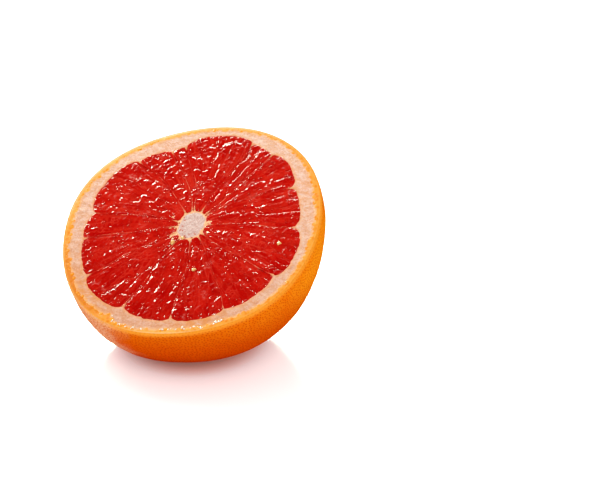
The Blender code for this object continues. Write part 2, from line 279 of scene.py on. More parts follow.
def lobe_edge(index, across):
    """Radius where the pulp of a lobe meets the pith, from one membrane (0) to the next (1)."""
    notch = MEMBRANES[index % LOBE_COUNT][2]
    next_notch = MEMBRANES[(index + 1) % LOBE_COUNT][2]
    bulge = LOBE_REACH[index % LOBE_COUNT] - 0.5 * (notch + next_notch)
    round_end = np.sqrt(np.maximum(0.0, 1.0 - np.abs(2.0 * across - 1.0) ** 3.2))
    angle = mix(membrane_angle(index, 1.0), membrane_angle(index + 1, 1.0), across)
    spots = polar(0.047, angle, 0.0).reshape(-1, 3)
    ripple = 0.00022 * lattice_noise(spots, 0.0017, 5) + 0.00025 * lattice_noise(spots, 0.004, 6)
    return mix(notch, next_notch, across) + (bulge + ripple.reshape(np.shape(angle))) * round_end


def core_stretch(angle):
    """The core is a little longer from front to back than from side to side."""
    return 1.0 - 0.11 * np.cos(2.0 * angle)


def lobe_start(index, across):
    """Radius where a lobe begins: its rounded end leaves a point of the core at each membrane."""
    angle = mix(membrane_angle(index, 0.0), membrane_angle(index + 1, 0.0), across)
    return PULP_START * core_stretch(angle) + 0.0017 * np.abs(2.0 * across - 1.0) ** 4.5


def lobe_point(index, across, along, wall=0.0):
    """A point of a lobe on the cut, and how wide the lobe is there, with a wall kept free at each side."""
    first = membrane_angle(index, along)
    last = membrane_angle(index + 1, along)
    reach = mix(lobe_start(index, across), lobe_edge(index, across), along)
    wide = reach * (last - first)
    free = wall / np.maximum(wide, 2.0 * wall + 1e-6)
    angle = mix(first, last, mix(free, 1.0 - free, across))
    return reach * np.cos(angle), reach * np.sin(angle), wide


def lobe_length(index):
    return LOBE_REACH[index] - PULP_START


def lobe_width(index):
    return LOBE_REACH[index] * float(membrane_angle(index + 1, 1.0) - membrane_angle(index, 1.0))


def pulp_edge(angle):
    """Radius where the pulp ends, at any angle."""
    degrees = MEMBRANES[0][0] + (np.degrees(angle) - MEMBRANES[0][0]) % 360.0
    starts = np.array([membrane[0] for membrane in MEMBRANES] + [MEMBRANES[0][0] + 360.0])
    index = np.clip(np.searchsorted(starts, degrees, side="right") - 1, 0, LOBE_COUNT - 1)
    across = (degrees - starts[index]) / (starts[index + 1] - starts[index])
    edge = np.zeros_like(angle)
    for number in range(LOBE_COUNT):
        here = index == number
        edge[here] = lobe_edge(number, across[here])
    return edge


def stitch(counts, closed):
    """Triangles between rows of points, where each row has as many as its neighbour, half or twice."""
    triangles = []
    start = 0
    for size, following in zip(counts, counts[1:]):
        upper = start + np.arange(size + (1 if closed and size > 1 else 0))
        lower = start + size + np.arange(following + (1 if closed and following > 1 else 0))
        if closed and size > 1:
            upper[-1] = start
        if closed and following > 1:
            lower[-1] = start + size
        if size == 1:
            triangles.append(np.stack((np.full(len(lower) - 1, upper[0]), lower[1:], lower[:-1]), axis=1))
        elif following == 1:
            triangles.append(np.stack((upper[:-1], upper[1:], np.full(len(upper) - 1, lower[0])), axis=1))
        elif size == following:
            triangles.append(np.stack((upper[:-1], upper[1:], lower[1:]), axis=1))
            triangles.append(np.stack((upper[:-1], lower[1:], lower[:-1]), axis=1))
        elif len(upper) - 1 == 2 * (len(lower) - 1):
            triangles.append(np.stack((upper[0:-2:2], upper[1:-1:2], lower[:-1]), axis=1))
            triangles.append(np.stack((upper[1:-1:2], lower[1:], lower[:-1]), axis=1))
            triangles.append(np.stack((upper[1:-1:2], upper[2::2], lower[1:]), axis=1))
        elif 2 * (len(upper) - 1) == len(lower) - 1:
            triangles.append(np.stack((upper[:-1], lower[1:-1:2], lower[0:-2:2]), axis=1))
            triangles.append(np.stack((upper[:-1], upper[1:], lower[1:-1:2]), axis=1))
            triangles.append(np.stack((upper[1:], lower[2::2], lower[1:-1:2]), axis=1))
        else:
            raise ValueError(f"rows of {size} and {following} points do not stitch")
        start += size
    return np.concatenate(triangles)


def flat_points(x, y):
    """Points on the cut."""
    return np.stack((x, y, np.zeros(len(x))), axis=1)


def keep_values(mesh, values):
    """Keeps numbers on a mesh's points, each kind under its name."""
    for label, kept in values.items():
        mesh.attributes.new(label, "FLOAT", "POINT").data.foreach_set("value", kept.astype(np.float32))


def piece_object(name, points, triangles, values=None):
    """Makes an object of triangles, with its faces turned outwards and values kept on its points."""
    mesh = bpy.data.meshes.new(name)
    mesh.vertices.add(len(points))
    mesh.vertices.foreach_set("co", np.asarray(points, dtype=np.float32).ravel())
    mesh.loops.add(3 * len(triangles))
    mesh.loops.foreach_set("vertex_index", triangles.astype(np.int32).ravel())
    mesh.polygons.add(len(triangles))
    mesh.polygons.foreach_set("loop_start", np.arange(0, 3 * len(triangles), 3, dtype=np.int32))
    keep_values(mesh, values or {})
    mesh.update(calc_edges=True)
    mesh.validate()
    bm = bmesh.new()
    bm.from_mesh(mesh)
    bmesh.ops.recalc_face_normals(bm, faces=bm.faces)
    bm.to_mesh(mesh)
    bm.free()
    mesh.shade_smooth()
    mesh.set_sharp_from_angle(angle=math.radians(52.0))
    return linked(name, mesh)


def points_object(name, points, values):
    """Makes an object of loose points with their values, for a tree to put copies on."""
    mesh = bpy.data.meshes.new(name)
    mesh.from_pydata(points.tolist(), [], [])
    keep_values(mesh, values)
    return linked(name, mesh)


def linked(name, mesh):
    made = bpy.data.objects.new(name, mesh)
    bpy.context.scene.collection.objects.link(made)
    return made


def dress(piece, finish=None):
    """Gives a finished piece its material and its place in the frame."""
    if finish is not None:
        piece.data.materials.clear()
        piece.data.materials.append(finish)
    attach(piece, BODY)
    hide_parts(NODE)


class Finish:
    """A material under construction: short calls that add its nodes."""

    def __init__(self, name):
        self.material = bpy.data.materials.new(name)
        self.material.use_nodes = True
        self.nodes = self.material.node_tree.nodes
        self.links = self.material.node_tree.links
        self.shader = self.nodes["Principled BSDF"]
        self.place = self.nodes.new("ShaderNodeTexCoord").outputs["Object"]

    def set(self, **values):
        for name, value in values.items():
            self.shader.inputs[name.replace("_", " ")].default_value = value

    def join(self, source, *names):
        for name in names:
            self.links.new(source, self.shader.inputs[name])

    def feed(self, node, pairs):
        """Gives each socket its value, or the link it comes from."""
        for key, source in pairs:
            if isinstance(source, bpy.types.NodeSocket):
                self.links.new(source, node.inputs[key])
            elif source is not None:
                node.inputs[key].default_value = source

    def kept(self, name, output="Fac"):
        node = self.nodes.new("ShaderNodeAttribute")
        node.attribute_name = name
        return node.outputs[output]

    def noise(self, scale, detail=2.0, roughness=0.5, distortion=0.0, drawn_out=None, turn=0.0):
        node = self.nodes.new("ShaderNodeTexNoise")
        self.feed(node, (
            ("Vector", self.squeezed(drawn_out, turn) if drawn_out else self.place), ("Scale", scale),
            ("Detail", detail), ("Roughness", roughness), ("Distortion", distortion),
        ))
        return node.outputs["Fac"]

    def squeezed(self, shares, turn):
        """The place turned about z and scaled on each axis: a pattern is drawn out where that is least."""
        turned = self.nodes.new("ShaderNodeVectorRotate")
        turned.rotation_type = "Z_AXIS"
        self.feed(turned, (("Vector", self.place), ("Angle", turn)))
        node = self.nodes.new("ShaderNodeVectorMath")
        node.operation = "MULTIPLY"
        self.feed(node, ((0, turned.outputs["Vector"]), (1, shares)))
        return node.outputs[0]

    def cells(self, scale):
        node = self.nodes.new("ShaderNodeTexVoronoi")
        self.feed(node, (("Vector", self.place), ("Scale", scale)))
        return node.outputs["Distance"]

    def height(self):
        node = self.nodes.new("ShaderNodeSeparateXYZ")
        self.feed(node, ((0, self.place),))
        return node.outputs["Z"]

    def distance(self, first, second):
        node = self.nodes.new("ShaderNodeVectorMath")
        node.operation = "DISTANCE"
        self.feed(node, ((0, first), (1, second)))
        return node.outputs["Value"]

    def sums(self, kind, first, second):
        node = self.nodes.new("ShaderNodeMath")
        node.operation = kind
        self.feed(node, ((0, first), (1, second)))
        return node.outputs[0]

    def times(self, first, second):
        return self.sums("MULTIPLY", first, second)

    def spread(self, source, low, high, new_low=0.0, new_high=1.0):
        node = self.nodes.new("ShaderNodeMapRange")
        node.interpolation_type = "SMOOTHSTEP"
        names = ("Value", "From Min", "From Max", "To Min", "To Max")
        self.feed(node, zip(names, (source, low, high, new_low, new_high)))
        return node.outputs["Result"]

    def blend(self, share, first, second, kind="MIX"):
        node = self.nodes.new("ShaderNodeMix")
        node.data_type = "RGBA"
        node.blend_type = kind
        self.feed(node, ((0, share), (6, first), (7, second)))
        return node.outputs[2]

    def start(self, share, first, second):
        """Mixes the first two colours of the surface."""
        self.colour = self.blend(share, first, second)

    def paint(self, share, colour, kind="MIX"):
        """Lays a colour over what is painted so far."""
        self.colour = self.blend(share, self.colour, colour, kind)

    def bump(self, height, distance, strength, over=None):
        node = self.nodes.new("ShaderNodeBump")
        names = ("Strength", "Distance", "Height", "Normal")
        self.feed(node, zip(names, (strength, distance, height, over)))
        return node.outputs["Normal"]

    def flesh(self, weight, *radius):
        """Lets light sink in: how much of it, and how far its red, green and blue reach."""
        self.set(Subsurface_Weight=weight, Subsurface_Radius=radius, Subsurface_Scale=1.0)

    def wet(self, weight, roughness, ior=1.5):
        self.set(Coat_Weight=weight, Coat_Roughness=roughness, Coat_IOR=ior)

    def dry(self, roughness, level):
        """The surface under any wet film."""
        self.set(Roughness=roughness, Specular_IOR_Level=level)

    def done(self):
        self.join(self.colour, "Base Color")
        return self.material


def linear(red, green, blue):
    """A colour as the eye names it, 0 to 255, in the shader's own linear scale."""
    parts = [channel / 255.0 for channel in (red, green, blue)]
    return tuple(p / 12.92 if p <= 0.04045 else ((p + 0.055) / 1.055) ** 2.4 for p in parts) + (1.0,)


def rind_finish(settings):
    finish = Finish("grapefruit_rind")
    from_pore = finish.distance(finish.place, finish.kept("pore_centre", "Vector"))
    dot = finish.spread(from_pore, 0.00018, 0.00048, 1.0, 0.0)
    dent = finish.spread(from_pore, 0.0001, 0.0005, 1.0, 0.0)
    broad = finish.spread(finish.noise(34.0, 3.0), 0.38, 0.66)
    finish.start(broad, tuple(settings.rind_colour), linear(230, 112, 7))
    finish.paint(finish.spread(finish.noise(240.0, 3.0), 0.4, 0.7, 0.0, 0.25), linear(247, 150, 22))
    finish.paint(finish.spread(finish.noise(1100.0, 2.0), 0.35, 0.75, 0.0, 0.15), linear(249, 160, 34))
    # Painted shade: darker and redder towards the floor
    finish.paint(finish.spread(finish.height(), 0.014, 0.046, 0.95, 0.0), linear(198, 67, 0))
    finish.paint(finish.spread(finish.height(), 0.0, 0.018, 0.9, 0.0), linear(172, 34, 0))
    # Painted highlight: a paler band on the peel just under the cut, with fainter pores
    rim = finish.kept("rind_rim_highlight")
    finish.paint(finish.times(rim, 0.85), linear(240, 152, 46))
    # Painted sheen: pale flecks low on the left side, where the peel would reflect the bright floor
    sheen_fleck = finish.spread(finish.noise(2100.0, 3.0, 0.6, 0.0, (0.4, 1.0, 1.0), 0.6), 0.4, 0.62, 0.4, 1.0)
    finish.paint(finish.times(finish.kept("painted_sheen"), sheen_fleck), linear(226, 176, 134))
    dark = finish.times(dot, finish.spread(rim, 0.2, 1.0, 0.9, 0.2))
    finish.paint(dark, (0.76, 0.44, 0.34, 1.0), "MULTIPLY")
    finish.join(finish.spread(dot, 0.0, 1.0, 0.36, 0.5), "Roughness")
    finish.set(Specular_IOR_Level=0.0)
    finish.flesh(0.04, 0.0012, 0.0005, 0.0002)
    grain = finish.bump(finish.noise(2200.0, 2.0), 0.00005, 0.5)
    finish.join(finish.bump(finish.times(dent, -1.0), 0.00013, 0.9, grain), "Normal")
    return finish.done()


def pith_finish(settings):
    finish = Finish("grapefruit_pith")
    skin = finish.kept("cut_skin")
    gap = finish.kept("pulp_gap")
    tone = finish.kept("tone")
    fibre = finish.noise(1500.0, 4.0, 0.65, 0.0, (0.6, 1.0, 1.0))
    cloud = finish.noise(460.0, 3.0, 0.6, 0.3, (0.6, 1.0, 1.0))
    fluff = finish.noise(1400.0, 3.0, 0.6)
    finish.start(finish.spread(cloud, 0.4, 0.62), tuple(settings.pith_colour), linear(219, 168, 134))
    finish.paint(finish.spread(fibre, 0.46, 0.66, 0.0, 0.75), linear(209, 146, 106))
    finish.paint(finish.spread(fluff, 0.5, 0.68, 0.0, 0.7), linear(238, 207, 193))
    # Painted shade: darker towards the bottom of the cut
    finish.paint(finish.spread(finish.height(), 0.030, 0.070, 1.0, 0.0), (0.88, 0.765, 0.68, 1.0), "MULTIPLY")
    # Juice soaks in from the pulp, and oil from the peel
    finish.paint(finish.spread(gap, 0.1, 1.6, 0.6, 0.0), linear(226, 158, 106))
    finish.paint(finish.spread(gap, -0.2, 0.35, 0.8, 0.0), linear(238, 124, 90))
    finish.paint(finish.times(finish.kept("warm"), finish.spread(cloud, 0.3, 0.6)), linear(216, 138, 70))
    finish.paint(finish.spread(finish.kept("skin_in"), -0.2, 1.8, 0.75, 0.0), linear(238, 172, 94))
    cream = finish.colour
    finish.start(finish.spread(finish.cells(520.0), 0.15, 0.6), linear(228, 130, 20), linear(236, 156, 56))
    finish.paint(finish.spread(tone, -1.0, 0.0, 0.8, 0.0), linear(212, 112, 10))
    finish.paint(finish.spread(tone, 0.0, 1.0, 0.0, 0.7), linear(242, 184, 100))
    # Painted highlight: a paler band along the rounded edge of the cut rim
    cut_rim_highlight = finish.blend(finish.spread(tone, 0.0, 1.0), linear(236, 162, 70), linear(246, 218, 172))
    finish.paint(finish.spread(finish.kept("rim_gap"), 0.1, 0.8, 0.5, 0.0), cut_rim_highlight)
    border = finish.sums("ADD", skin, finish.spread(finish.noise(480.0, 3.0), 0.25, 0.75, -0.36, 0.3))
    finish.start(finish.spread(border, 0.25, 0.75), cream, finish.colour)
    finish.join(finish.spread(skin, 0.2, 0.8, 0.6, 0.45), "Roughness")
    finish.set(Specular_IOR_Level=0.08)
    finish.flesh(0.2, 0.0016, 0.0009, 0.0005)
    finish.join(finish.bump(fibre, 0.00012, 0.7), "Normal")
    return finish.done()


def pulp_finish(settings):
    finish = Finish("grapefruit_pulp")
    tint = finish.spread(finish.kept("sac_tint"), 0.0, 1.0)
    finish.start(tint, tuple(settings.pulp_colour), linear(194, 20, 10))
    finish.paint(finish.spread(finish.kept("sac_streak"), 0.25, 0.85, 0.0, 0.5), linear(208, 46, 28))
    finish.paint(finish.spread(finish.noise(150.0, 2.0), 0.35, 0.7, 0.0, 0.4), linear(166, 5, 3))
    finish.paint(finish.spread(finish.kept("sac_wall"), 0.1, 0.9, 0.0, 0.42), linear(222, 68, 50))
    # Painted highlight: pale pink patches that stand in for clusters of glints
    glint_patch = finish.spread(finish.noise(190.0, 2.0), 0.64, 0.72, 0.0, 0.42)
    glint_shreds = finish.spread(finish.noise(1500.0, 3.0, 0.65), 0.46, 0.6)
    finish.paint(finish.times(glint_patch, glint_shreds), linear(230, 138, 122))
    # Painted shade: darker towards the bottom of the cut
    finish.paint(finish.spread(finish.height(), 0.034, 0.058, 1.0, 0.0), (0.90, 0.62, 0.60, 1.0), "MULTIPLY")
    finish.dry(0.4, 0.0)
    finish.wet(1.0, 0.05, 1.45)
    finish.flesh(0.25, 0.0022, 0.0003, 0.0002)
    film = finish.bump(finish.noise(850.0, 2.0, 0.5, 0.4), 0.0001, 0.38)
    finish.join(film, "Normal", "Coat Normal")
    return finish.done()


def bead_finish():
    finish = Finish("grapefruit_juice")
    finish.start(finish.noise(400.0), linear(184, 12, 6), linear(204, 38, 24))
    finish.dry(0.4, 0.0)
    finish.wet(1.0, 0.03)
    finish.flesh(0.3, 0.0022, 0.0003, 0.0002)
    return finish.done()


def membrane_finish():
    finish = Finish("grapefruit_membrane")
    streak = finish.spread(finish.noise(420.0, 3.0), 0.35, 0.65)
    finish.start(streak, linear(226, 60, 42), linear(238, 112, 86))
    finish.paint(finish.spread(finish.noise(150.0, 2.0), 0.42, 0.56), linear(200, 24, 14))
    finish.paint(finish.kept("pale"), linear(230, 154, 108))
    finish.dry(0.4, 0.0)
    finish.wet(0.5, 0.08, 1.4)
    finish.flesh(0.3, 0.002, 0.0006, 0.0004)
    finish.join(finish.bump(finish.noise(1100.0, 2.0), 0.0001, 0.4), "Normal", "Coat Normal")
    return finish.done()


def core_finish():
    finish = Finish("grapefruit_core")
    sponge = finish.noise(1500.0, 4.0, 0.65)
    finish.start(finish.spread(sponge, 0.35, 0.62), linear(196, 154, 141), linear(216, 190, 178))
    finish.paint(finish.kept("star"), linear(238, 180, 130))
    pits = finish.times(finish.spread(finish.cells(760.0), 0.2, 0.45, 1.0, 0.0), finish.kept("pitted"))
    finish.paint(pits, linear(186, 84, 52))
    finish.dry(0.6, 0.12)
    finish.flesh(0.15, 0.001, 0.0007, 0.0006)
    finish.join(finish.bump(sponge, 0.00015, 0.7), "Normal")
    return finish.done()


def seed_finish():
    finish = Finish("grapefruit_seed")
    grain = finish.noise(800.0, 3.0)
    finish.start(finish.spread(grain, 0.4, 0.7), linear(240, 200, 122), linear(220, 144, 58))
    finish.set(Roughness=0.35)
    finish.wet(0.7, 0.08)
    finish.join(finish.bump(grain, 0.0001, 0.5), "Normal")
    return finish.done()


def scar_finish():
    finish = Finish("grapefruit_stem_scar")
    grain = finish.noise(1300.0, 5.0, 0.65)
    finish.start(finish.spread(grain, 0.35, 0.7), linear(96, 62, 30), linear(168, 124, 70))
    finish.dry(0.8, 0.3)
    finish.join(finish.bump(grain, 0.0003, 0.9), "Normal")
    return finish.done()


def gland_finish():
    finish = Finish("grapefruit_oil_gland")
    cloud = finish.spread(finish.noise(700.0, 2.0), 0.35, 0.7)
    finish.start(cloud, linear(236, 140, 24), linear(243, 160, 50))
    finish.dry(0.4, 0.1)
    finish.wet(0.12, 0.15)
    finish.flesh(0.2, 0.0014, 0.0007, 0.0002)
    return finish.done()


def drop_glint_finish():
    finish = Finish("grapefruit_peel_drop_glint")
    # Painted highlight: the drops are near white, standing in for their glints
    finish.start(finish.noise(500.0), linear(250, 226, 196), linear(254, 242, 228))
    finish.dry(0.3, 0.0)
    finish.wet(1.0, 0.04)
    finish.flesh(0.3, 0.0016, 0.001, 0.0006)
    return finish.done()


def floor_finish():
    """A white floor with a painted glow that grows away from the fruit, and painted orange bounce light where
    it stands.
    """
    finish = Finish("studio_floor")
    away = finish.distance(finish.place, (0.0, -0.004, 0.0))
    cloud = finish.spread(finish.noise(9.0, 2.0), 0.3, 0.7)
    finish.start(cloud, linear(251, 251, 250), linear(253, 253, 253))
    # Painted bounce light: an orange tint on the floor round where the fruit stands
    finish.paint(finish.spread(away, 0.023, 0.035, 1.0, 0.0), linear(246, 148, 96))
    # Painted glow: the floor shines more the farther it is from the fruit, which lightens its shadow
    finish.join(finish.spread(away, 0.016, 0.042, 0.05, 0.30), "Emission Strength")
    finish.set(Emission_Color=(1.0, 1.0, 1.0, 1.0))
    finish.dry(0.14, 0.5)
    return finish.done()


class Tree:
    """A Geometry Nodes tree under construction, with named inputs that are set by identifier."""

    def __init__(self, name, inputs):
        self.tree = bpy.data.node_groups.new(name, "GeometryNodeTree")
        self.tree.is_modifier = True
        self.tree.interface.new_socket("Geometry", in_out="OUTPUT", socket_type="NodeSocketGeometry")
        self.tree.interface.new_socket("Geometry", in_out="INPUT", socket_type="NodeSocketGeometry")
        self.values = {}
        for label, kind, value in inputs:
            socket = self.tree.interface.new_socket(label, in_out="INPUT", socket_type="NodeSocket" + kind)
            self.values[socket.identifier] = value
        self.inputs = self.tree.nodes.new("NodeGroupInput")
        self.outputs = self.tree.nodes.new("NodeGroupOutput")

    def node(self, kind, options, *pairs):
        """Adds a node with its options and the value or link of each socket."""
        made = self.tree.nodes.new(kind)
        for name, value in options.items():
            setattr(made, name, value)
        for key, value in pairs:
            if isinstance(value, bpy.types.NodeSocket):
                self.tree.links.new(value, made.inputs[key])
            else:
                made.inputs[key].default_value = value
        return made

    def math(self, kind, first, second):
        return self.node("ShaderNodeMath", {"operation": kind}, (0, first), (1, second)).outputs[0]

    def given(self, label):
        return self.inputs.outputs[label]

    def kept(self, label):
        made = self.node("GeometryNodeInputNamedAttribute", {"data_type": "FLOAT"}, ("Name", label))
        return made.outputs["Attribute"]

    def store(self, geometry, label, kind, value, domain="POINT"):
        options = {"data_type": kind, "domain": domain}
        pairs = (("Geometry", geometry), ("Name", label), ("Value", value))
        return self.node("GeometryNodeStoreNamedAttribute", options, *pairs).outputs[0]

    def finish(self, geometry):
        """Ends the tree in Realize Instances and Set Material."""
        real = self.node("GeometryNodeRealizeInstances", {}, ("Geometry", geometry)).outputs[0]
        pairs = (("Geometry", real), ("Material", self.given("Material")))
        painted = self.node("GeometryNodeSetMaterial", {}, *pairs)
        self.tree.links.new(painted.outputs[0], self.outputs.inputs[0])

    def apply(self, piece):
        """Runs the tree on a piece and leaves the result as its plain mesh."""
        modifier = piece.modifiers.new(self.tree.name, "NODES")
        modifier.node_group = self.tree
        for identifier, value in self.values.items():
            modifier[identifier] = value
        evaluated = piece.evaluated_get(bpy.context.evaluated_depsgraph_get())
        result = bpy.data.meshes.new_from_object(evaluated)
        piece.modifiers.remove(modifier)
        piece.data = result
        result.shade_smooth()


def pore_tree(settings, material):
    """Oil pores: points spread evenly over the peel, each with a shallow dent round it."""
    tree = Tree("Peel Pores", (
        ("Pore Spacing", "Float", settings.pore_spacing),
        ("Pore Width", "Float", settings.pore_width),
        ("Pore Depth", "Float", settings.pore_depth),
        ("Seed", "Int", 11),
        ("Material", "Material", material),
    ))
    peel = tree.given("Geometry")
    spots = tree.node(
        "GeometryNodeDistributePointsOnFaces", {"distribute_method": "POISSON"}, ("Mesh", peel),
        ("Distance Min", tree.given("Pore Spacing")), ("Density Max", 2.5e6), ("Seed", tree.given("Seed")),
    )
    near = tree.node("GeometryNodeProximity", {"target_element": "POINTS"}, (0, spots.outputs["Points"]))
    peel = tree.store(peel, "pore_centre", "FLOAT_VECTOR", near.outputs["Position"], "FACE")
    peel = tree.store(peel, "pore_gap", "FLOAT", near.outputs["Distance"])
    share = tree.math("DIVIDE", tree.kept("pore_gap"), tree.given("Pore Width"))
    options = {"interpolation_type": "SMOOTHSTEP"}
    dent = tree.node("ShaderNodeMapRange", options, ("Value", share), ("To Min", 1.0), ("To Max", 0.0))
    depth = tree.math("MULTIPLY", dent.outputs["Result"], tree.given("Pore Depth"))
    depth = tree.math("MULTIPLY", tree.math("MULTIPLY", depth, tree.kept("skin_fade")), -1.0)
    normal = tree.node("GeometryNodeInputNormal", {}).outputs[0]
    offset = tree.node("ShaderNodeVectorMath", {"operation": "SCALE"}, (0, normal), ("Scale", depth))
    pairs = (("Geometry", peel), ("Offset", offset.outputs[0]))
    tree.finish(tree.node("GeometryNodeSetPosition", {}, *pairs).outputs[0])
    return tree


def bubble_tree(name, radius, low, high, material):
    """Small round bubbles that lean with the cut: one at each point, each of its own size and turn."""
    tree = Tree(name, (
        ("Radius", "Float", radius),
        ("Least Scale", "Vector", low),
        ("Greatest Scale", "Vector", high),
        ("Seed", "Int", 23),
        ("Material", "Material", material),
    ))
    pairs = (("Radius", tree.given("Radius")), ("Segments", 8), ("Rings", 6))
    bubble = tree.node("GeometryNodeMeshUVSphere", {}, *pairs)
    size = tree.node(
        "FunctionNodeRandomValue", {"data_type": "FLOAT_VECTOR"}, (0, tree.given("Least Scale")),
        (1, tree.given("Greatest Scale")), ("Seed", tree.given("Seed")),
    )
    pairs = ((0, size.outputs[0]), ("Scale", tree.kept("size")))
    grown = tree.node("ShaderNodeVectorMath", {"operation": "SCALE"}, *pairs)
    turn = tree.node("ShaderNodeCombineXYZ", {}, ("X", TILT))
    copies = tree.node(
        "GeometryNodeInstanceOnPoints", {}, ("Points", tree.given("Geometry")),
        ("Instance", bubble.outputs["Mesh"]), ("Rotation", turn.outputs[0]), ("Scale", (1.0, 1.0, 1.0)),
    )
    spin = tree.node("ShaderNodeCombineXYZ", {}, ("Z", tree.kept("spin")))
    pairs = (("Instances", copies.outputs[0]), ("Rotation", spin.outputs[0]), ("Local Space", True))
    spun = tree.node("GeometryNodeRotateInstances", {}, *pairs)
    pairs = (("Instances", spun.outputs[0]), ("Scale", grown.outputs[0]), ("Local Space", True))
    tree.finish(tree.node("GeometryNodeScaleInstances", {}, *pairs).outputs[0])
    return tree


def make_bubbles(name, title, points, sizes, spins, radius, scales, material):
    """Sets a small bubble on each point of the cut, of its own size and turn, and makes them one piece."""
    piece = points_object(name, placed(points), {"size": sizes / radius, "spin": spins})
    bubble_tree(title, radius, *scales, material).apply(piece)
    dress(piece)


def peel_profile():
    """Radius and depth of each ring of the peel, from the rim of the cut to the stem."""
    steepest = math.asin(BELLY_DEPTH / (STEM_DEPTH - BELLY_DEPTH))
    angle = np.linspace(-steepest, 0.5 * math.pi, 4000)
    depth = BELLY_DEPTH + (STEM_DEPTH - BELLY_DEPTH) * np.sin(angle)
    radius = belly_radius() * round_off((depth - BELLY_DEPTH) / (STEM_DEPTH - BELLY_DEPTH))
    run = np.concatenate(([0.0], np.cumsum(np.hypot(np.diff(radius), np.diff(depth)))))
    count = int(run[-1] / PEEL_RING_GAP)
    even = np.linspace(0.0, run[-1], count + 1)
    radius = np.interp(even, run, radius)
    depth = np.interp(even, run, depth)
    corner = np.linspace(0.0, 0.5 * math.pi, RIM_CORNER_POINTS)[:-1]
    rim_radius = RIM_RADIUS - RIM_ROUND + RIM_ROUND * np.sin(corner)
    rim_depth = RIM_ROUND - RIM_ROUND * np.cos(corner)
    below = depth > RIM_ROUND
    return np.concatenate((rim_radius, radius[below])), np.concatenate((rim_depth, depth[below]))


def ring_steps(radius):
    """Steps to a turn for a ring: halved while they would stand closer than they need to."""
    steps = PEEL_STEPS
    while steps > 11 and 2.0 * math.pi * radius / steps < 0.57 * PEEL_RING_GAP:
        steps //= 2
    return steps


def stem_relief(radius, angle):
    """How far the skin stands out near the stem: a dimple with faint folds round it."""
    folds = 0.00028 * np.cos(9.0 * angle + 4.0 * np.sin(2.0 * angle))
    folds *= np.exp(-(((radius - 0.0085) / 0.0035) ** 2))
    return folds - DIMPLE_DEPTH * np.exp(-((radius / DIMPLE_RADIUS) ** 2) * 2.0)


def skin_rings():
    """Rings of the peel's outside, each with its points, in the fruit's own frame."""
    rings = []
    for radius, depth in zip(*peel_profile()):
        steps = ring_steps(radius) if radius > POLE_RADIUS else 1
        if rings and 1 < steps < len(rings[-1]):
            steps = len(rings[-1]) // 2
        angle = full_turn(steps)
        reach = radius + rim_wave(angle) * smooth(radius / RIM_RADIUS) if steps > 1 else np.zeros(1)
        rings.append(polar(reach, angle, -depth - stem_relief(reach, angle)))
        if steps == 1:
            break
    return rings


def lining_rings():
    """Coarse rings of the peel's inside, from near the stem back up to the rim."""
    rings = []
    for share, steps in LINING_RINGS:
        angle = full_turn(steps)
        swing = share * LINING_SWING
        radius = (belly_radius() - PEEL_THICKNESS) * math.sin(swing)
        depth = (STEM_DEPTH - BELLY_DEPTH - PEEL_THICKNESS) * math.cos(swing) * 0.96
        depth = BELLY_DEPTH + depth - 0.003 * share
        rings.append(polar(radius + rim_wave(angle) * smooth(radius / RIM_RADIUS), angle, -depth))
    return rings


def make_rind(settings):
    """The peel: its outside with the oil pores, and a coarse lining under it."""
    skin = skin_rings()
    rings = skin + lining_rings() + [skin[0]]
    own = np.concatenate(rings[:-1])
    triangles = stitch([len(ring) for ring in rings], closed=True) % len(own)
    points = placed(own)
    points[:, 2] = np.maximum(points[:, 2], 0.0)
    depth = -own[:, 2]
    outside = np.arange(len(own)) < sum(len(ring) for ring in skin)
    swell = 0.00012 * lattice_noise(points, 0.006, 31) + 0.0002 * lattice_noise(points, 0.014, 32)
    fade = smooth((depth - 2.0 * RIM_ROUND) / 0.002) * outside * (points[:, 2] > 0.0)
    outward = points - FACE_CENTRE
    outward /= np.linalg.norm(outward, axis=1)[:, None]
    points += outward * (swell * fade)[:, None]
    points[:, 2] = np.maximum(points[:, 2], 0.0)
    skin_fade = smooth((depth - RIM_ROUND) / 0.0012) * outside
    # Painted sheen: a pale patch low on the left side of the peel
    angle = np.degrees(np.arctan2(own[:, 1], own[:, 0])) % 360.0
    angle += 5.0 * lattice_noise(points, 0.011, 33) + 4.0 * lattice_noise(points, 0.003, 34)
    painted_sheen = 0.80 * smooth((265.0 - angle) / 18.0) * smooth((angle - 203.0) / 32.0)
    painted_sheen *= smooth((0.031 - depth) / 0.014)
    # Painted highlight: a paler band on the peel just under the cut
    rind_rim_highlight = smooth(1.0 - (depth - 0.0003) / 0.0022)
    values = {"skin_fade": skin_fade, "painted_sheen": painted_sheen * outside, "rind_rim_highlight": rind_rim_highlight * outside}
    rind = piece_object("rind", points, triangles, values)
    pore_tree(settings, rind_finish(settings)).apply(rind)
    dress(rind)


def skin_width(angle):
    """How far in the coloured skin reaches on the cut, at each angle."""
    lower = smooth(0.5 + 0.5 * np.cos(angle - math.radians(225.0)))
    spots = polar(RIM_RADIUS, angle, 0.0)
    scallops = 0.0007 * lattice_noise(spots, 0.0034, 3) + 0.0003 * lattice_noise(spots, 0.0015, 4)
    width = mix(0.0015, 0.0021, lower) + scallops * mix(0.5, 1.0, lower)
    return np.maximum(0.0006, width + bays(angle, SKIN_BAYS))


def cut_glands():
    """Angle, distance in from the rim and radius of each oil gland that the knife opened."""
    draw = np.random.default_rng(GLAND_SEED)
    angle = (np.arange(GLAND_COUNT) + draw.uniform(-0.4, 0.4, GLAND_COUNT)) * (2.0 * math.pi / GLAND_COUNT)
    inset = np.maximum(0.001, skin_width(angle) * draw.uniform(0.6, 1.0, GLAND_COUNT))
    return angle, inset, draw.uniform(0.0004, 0.0011, GLAND_COUNT)


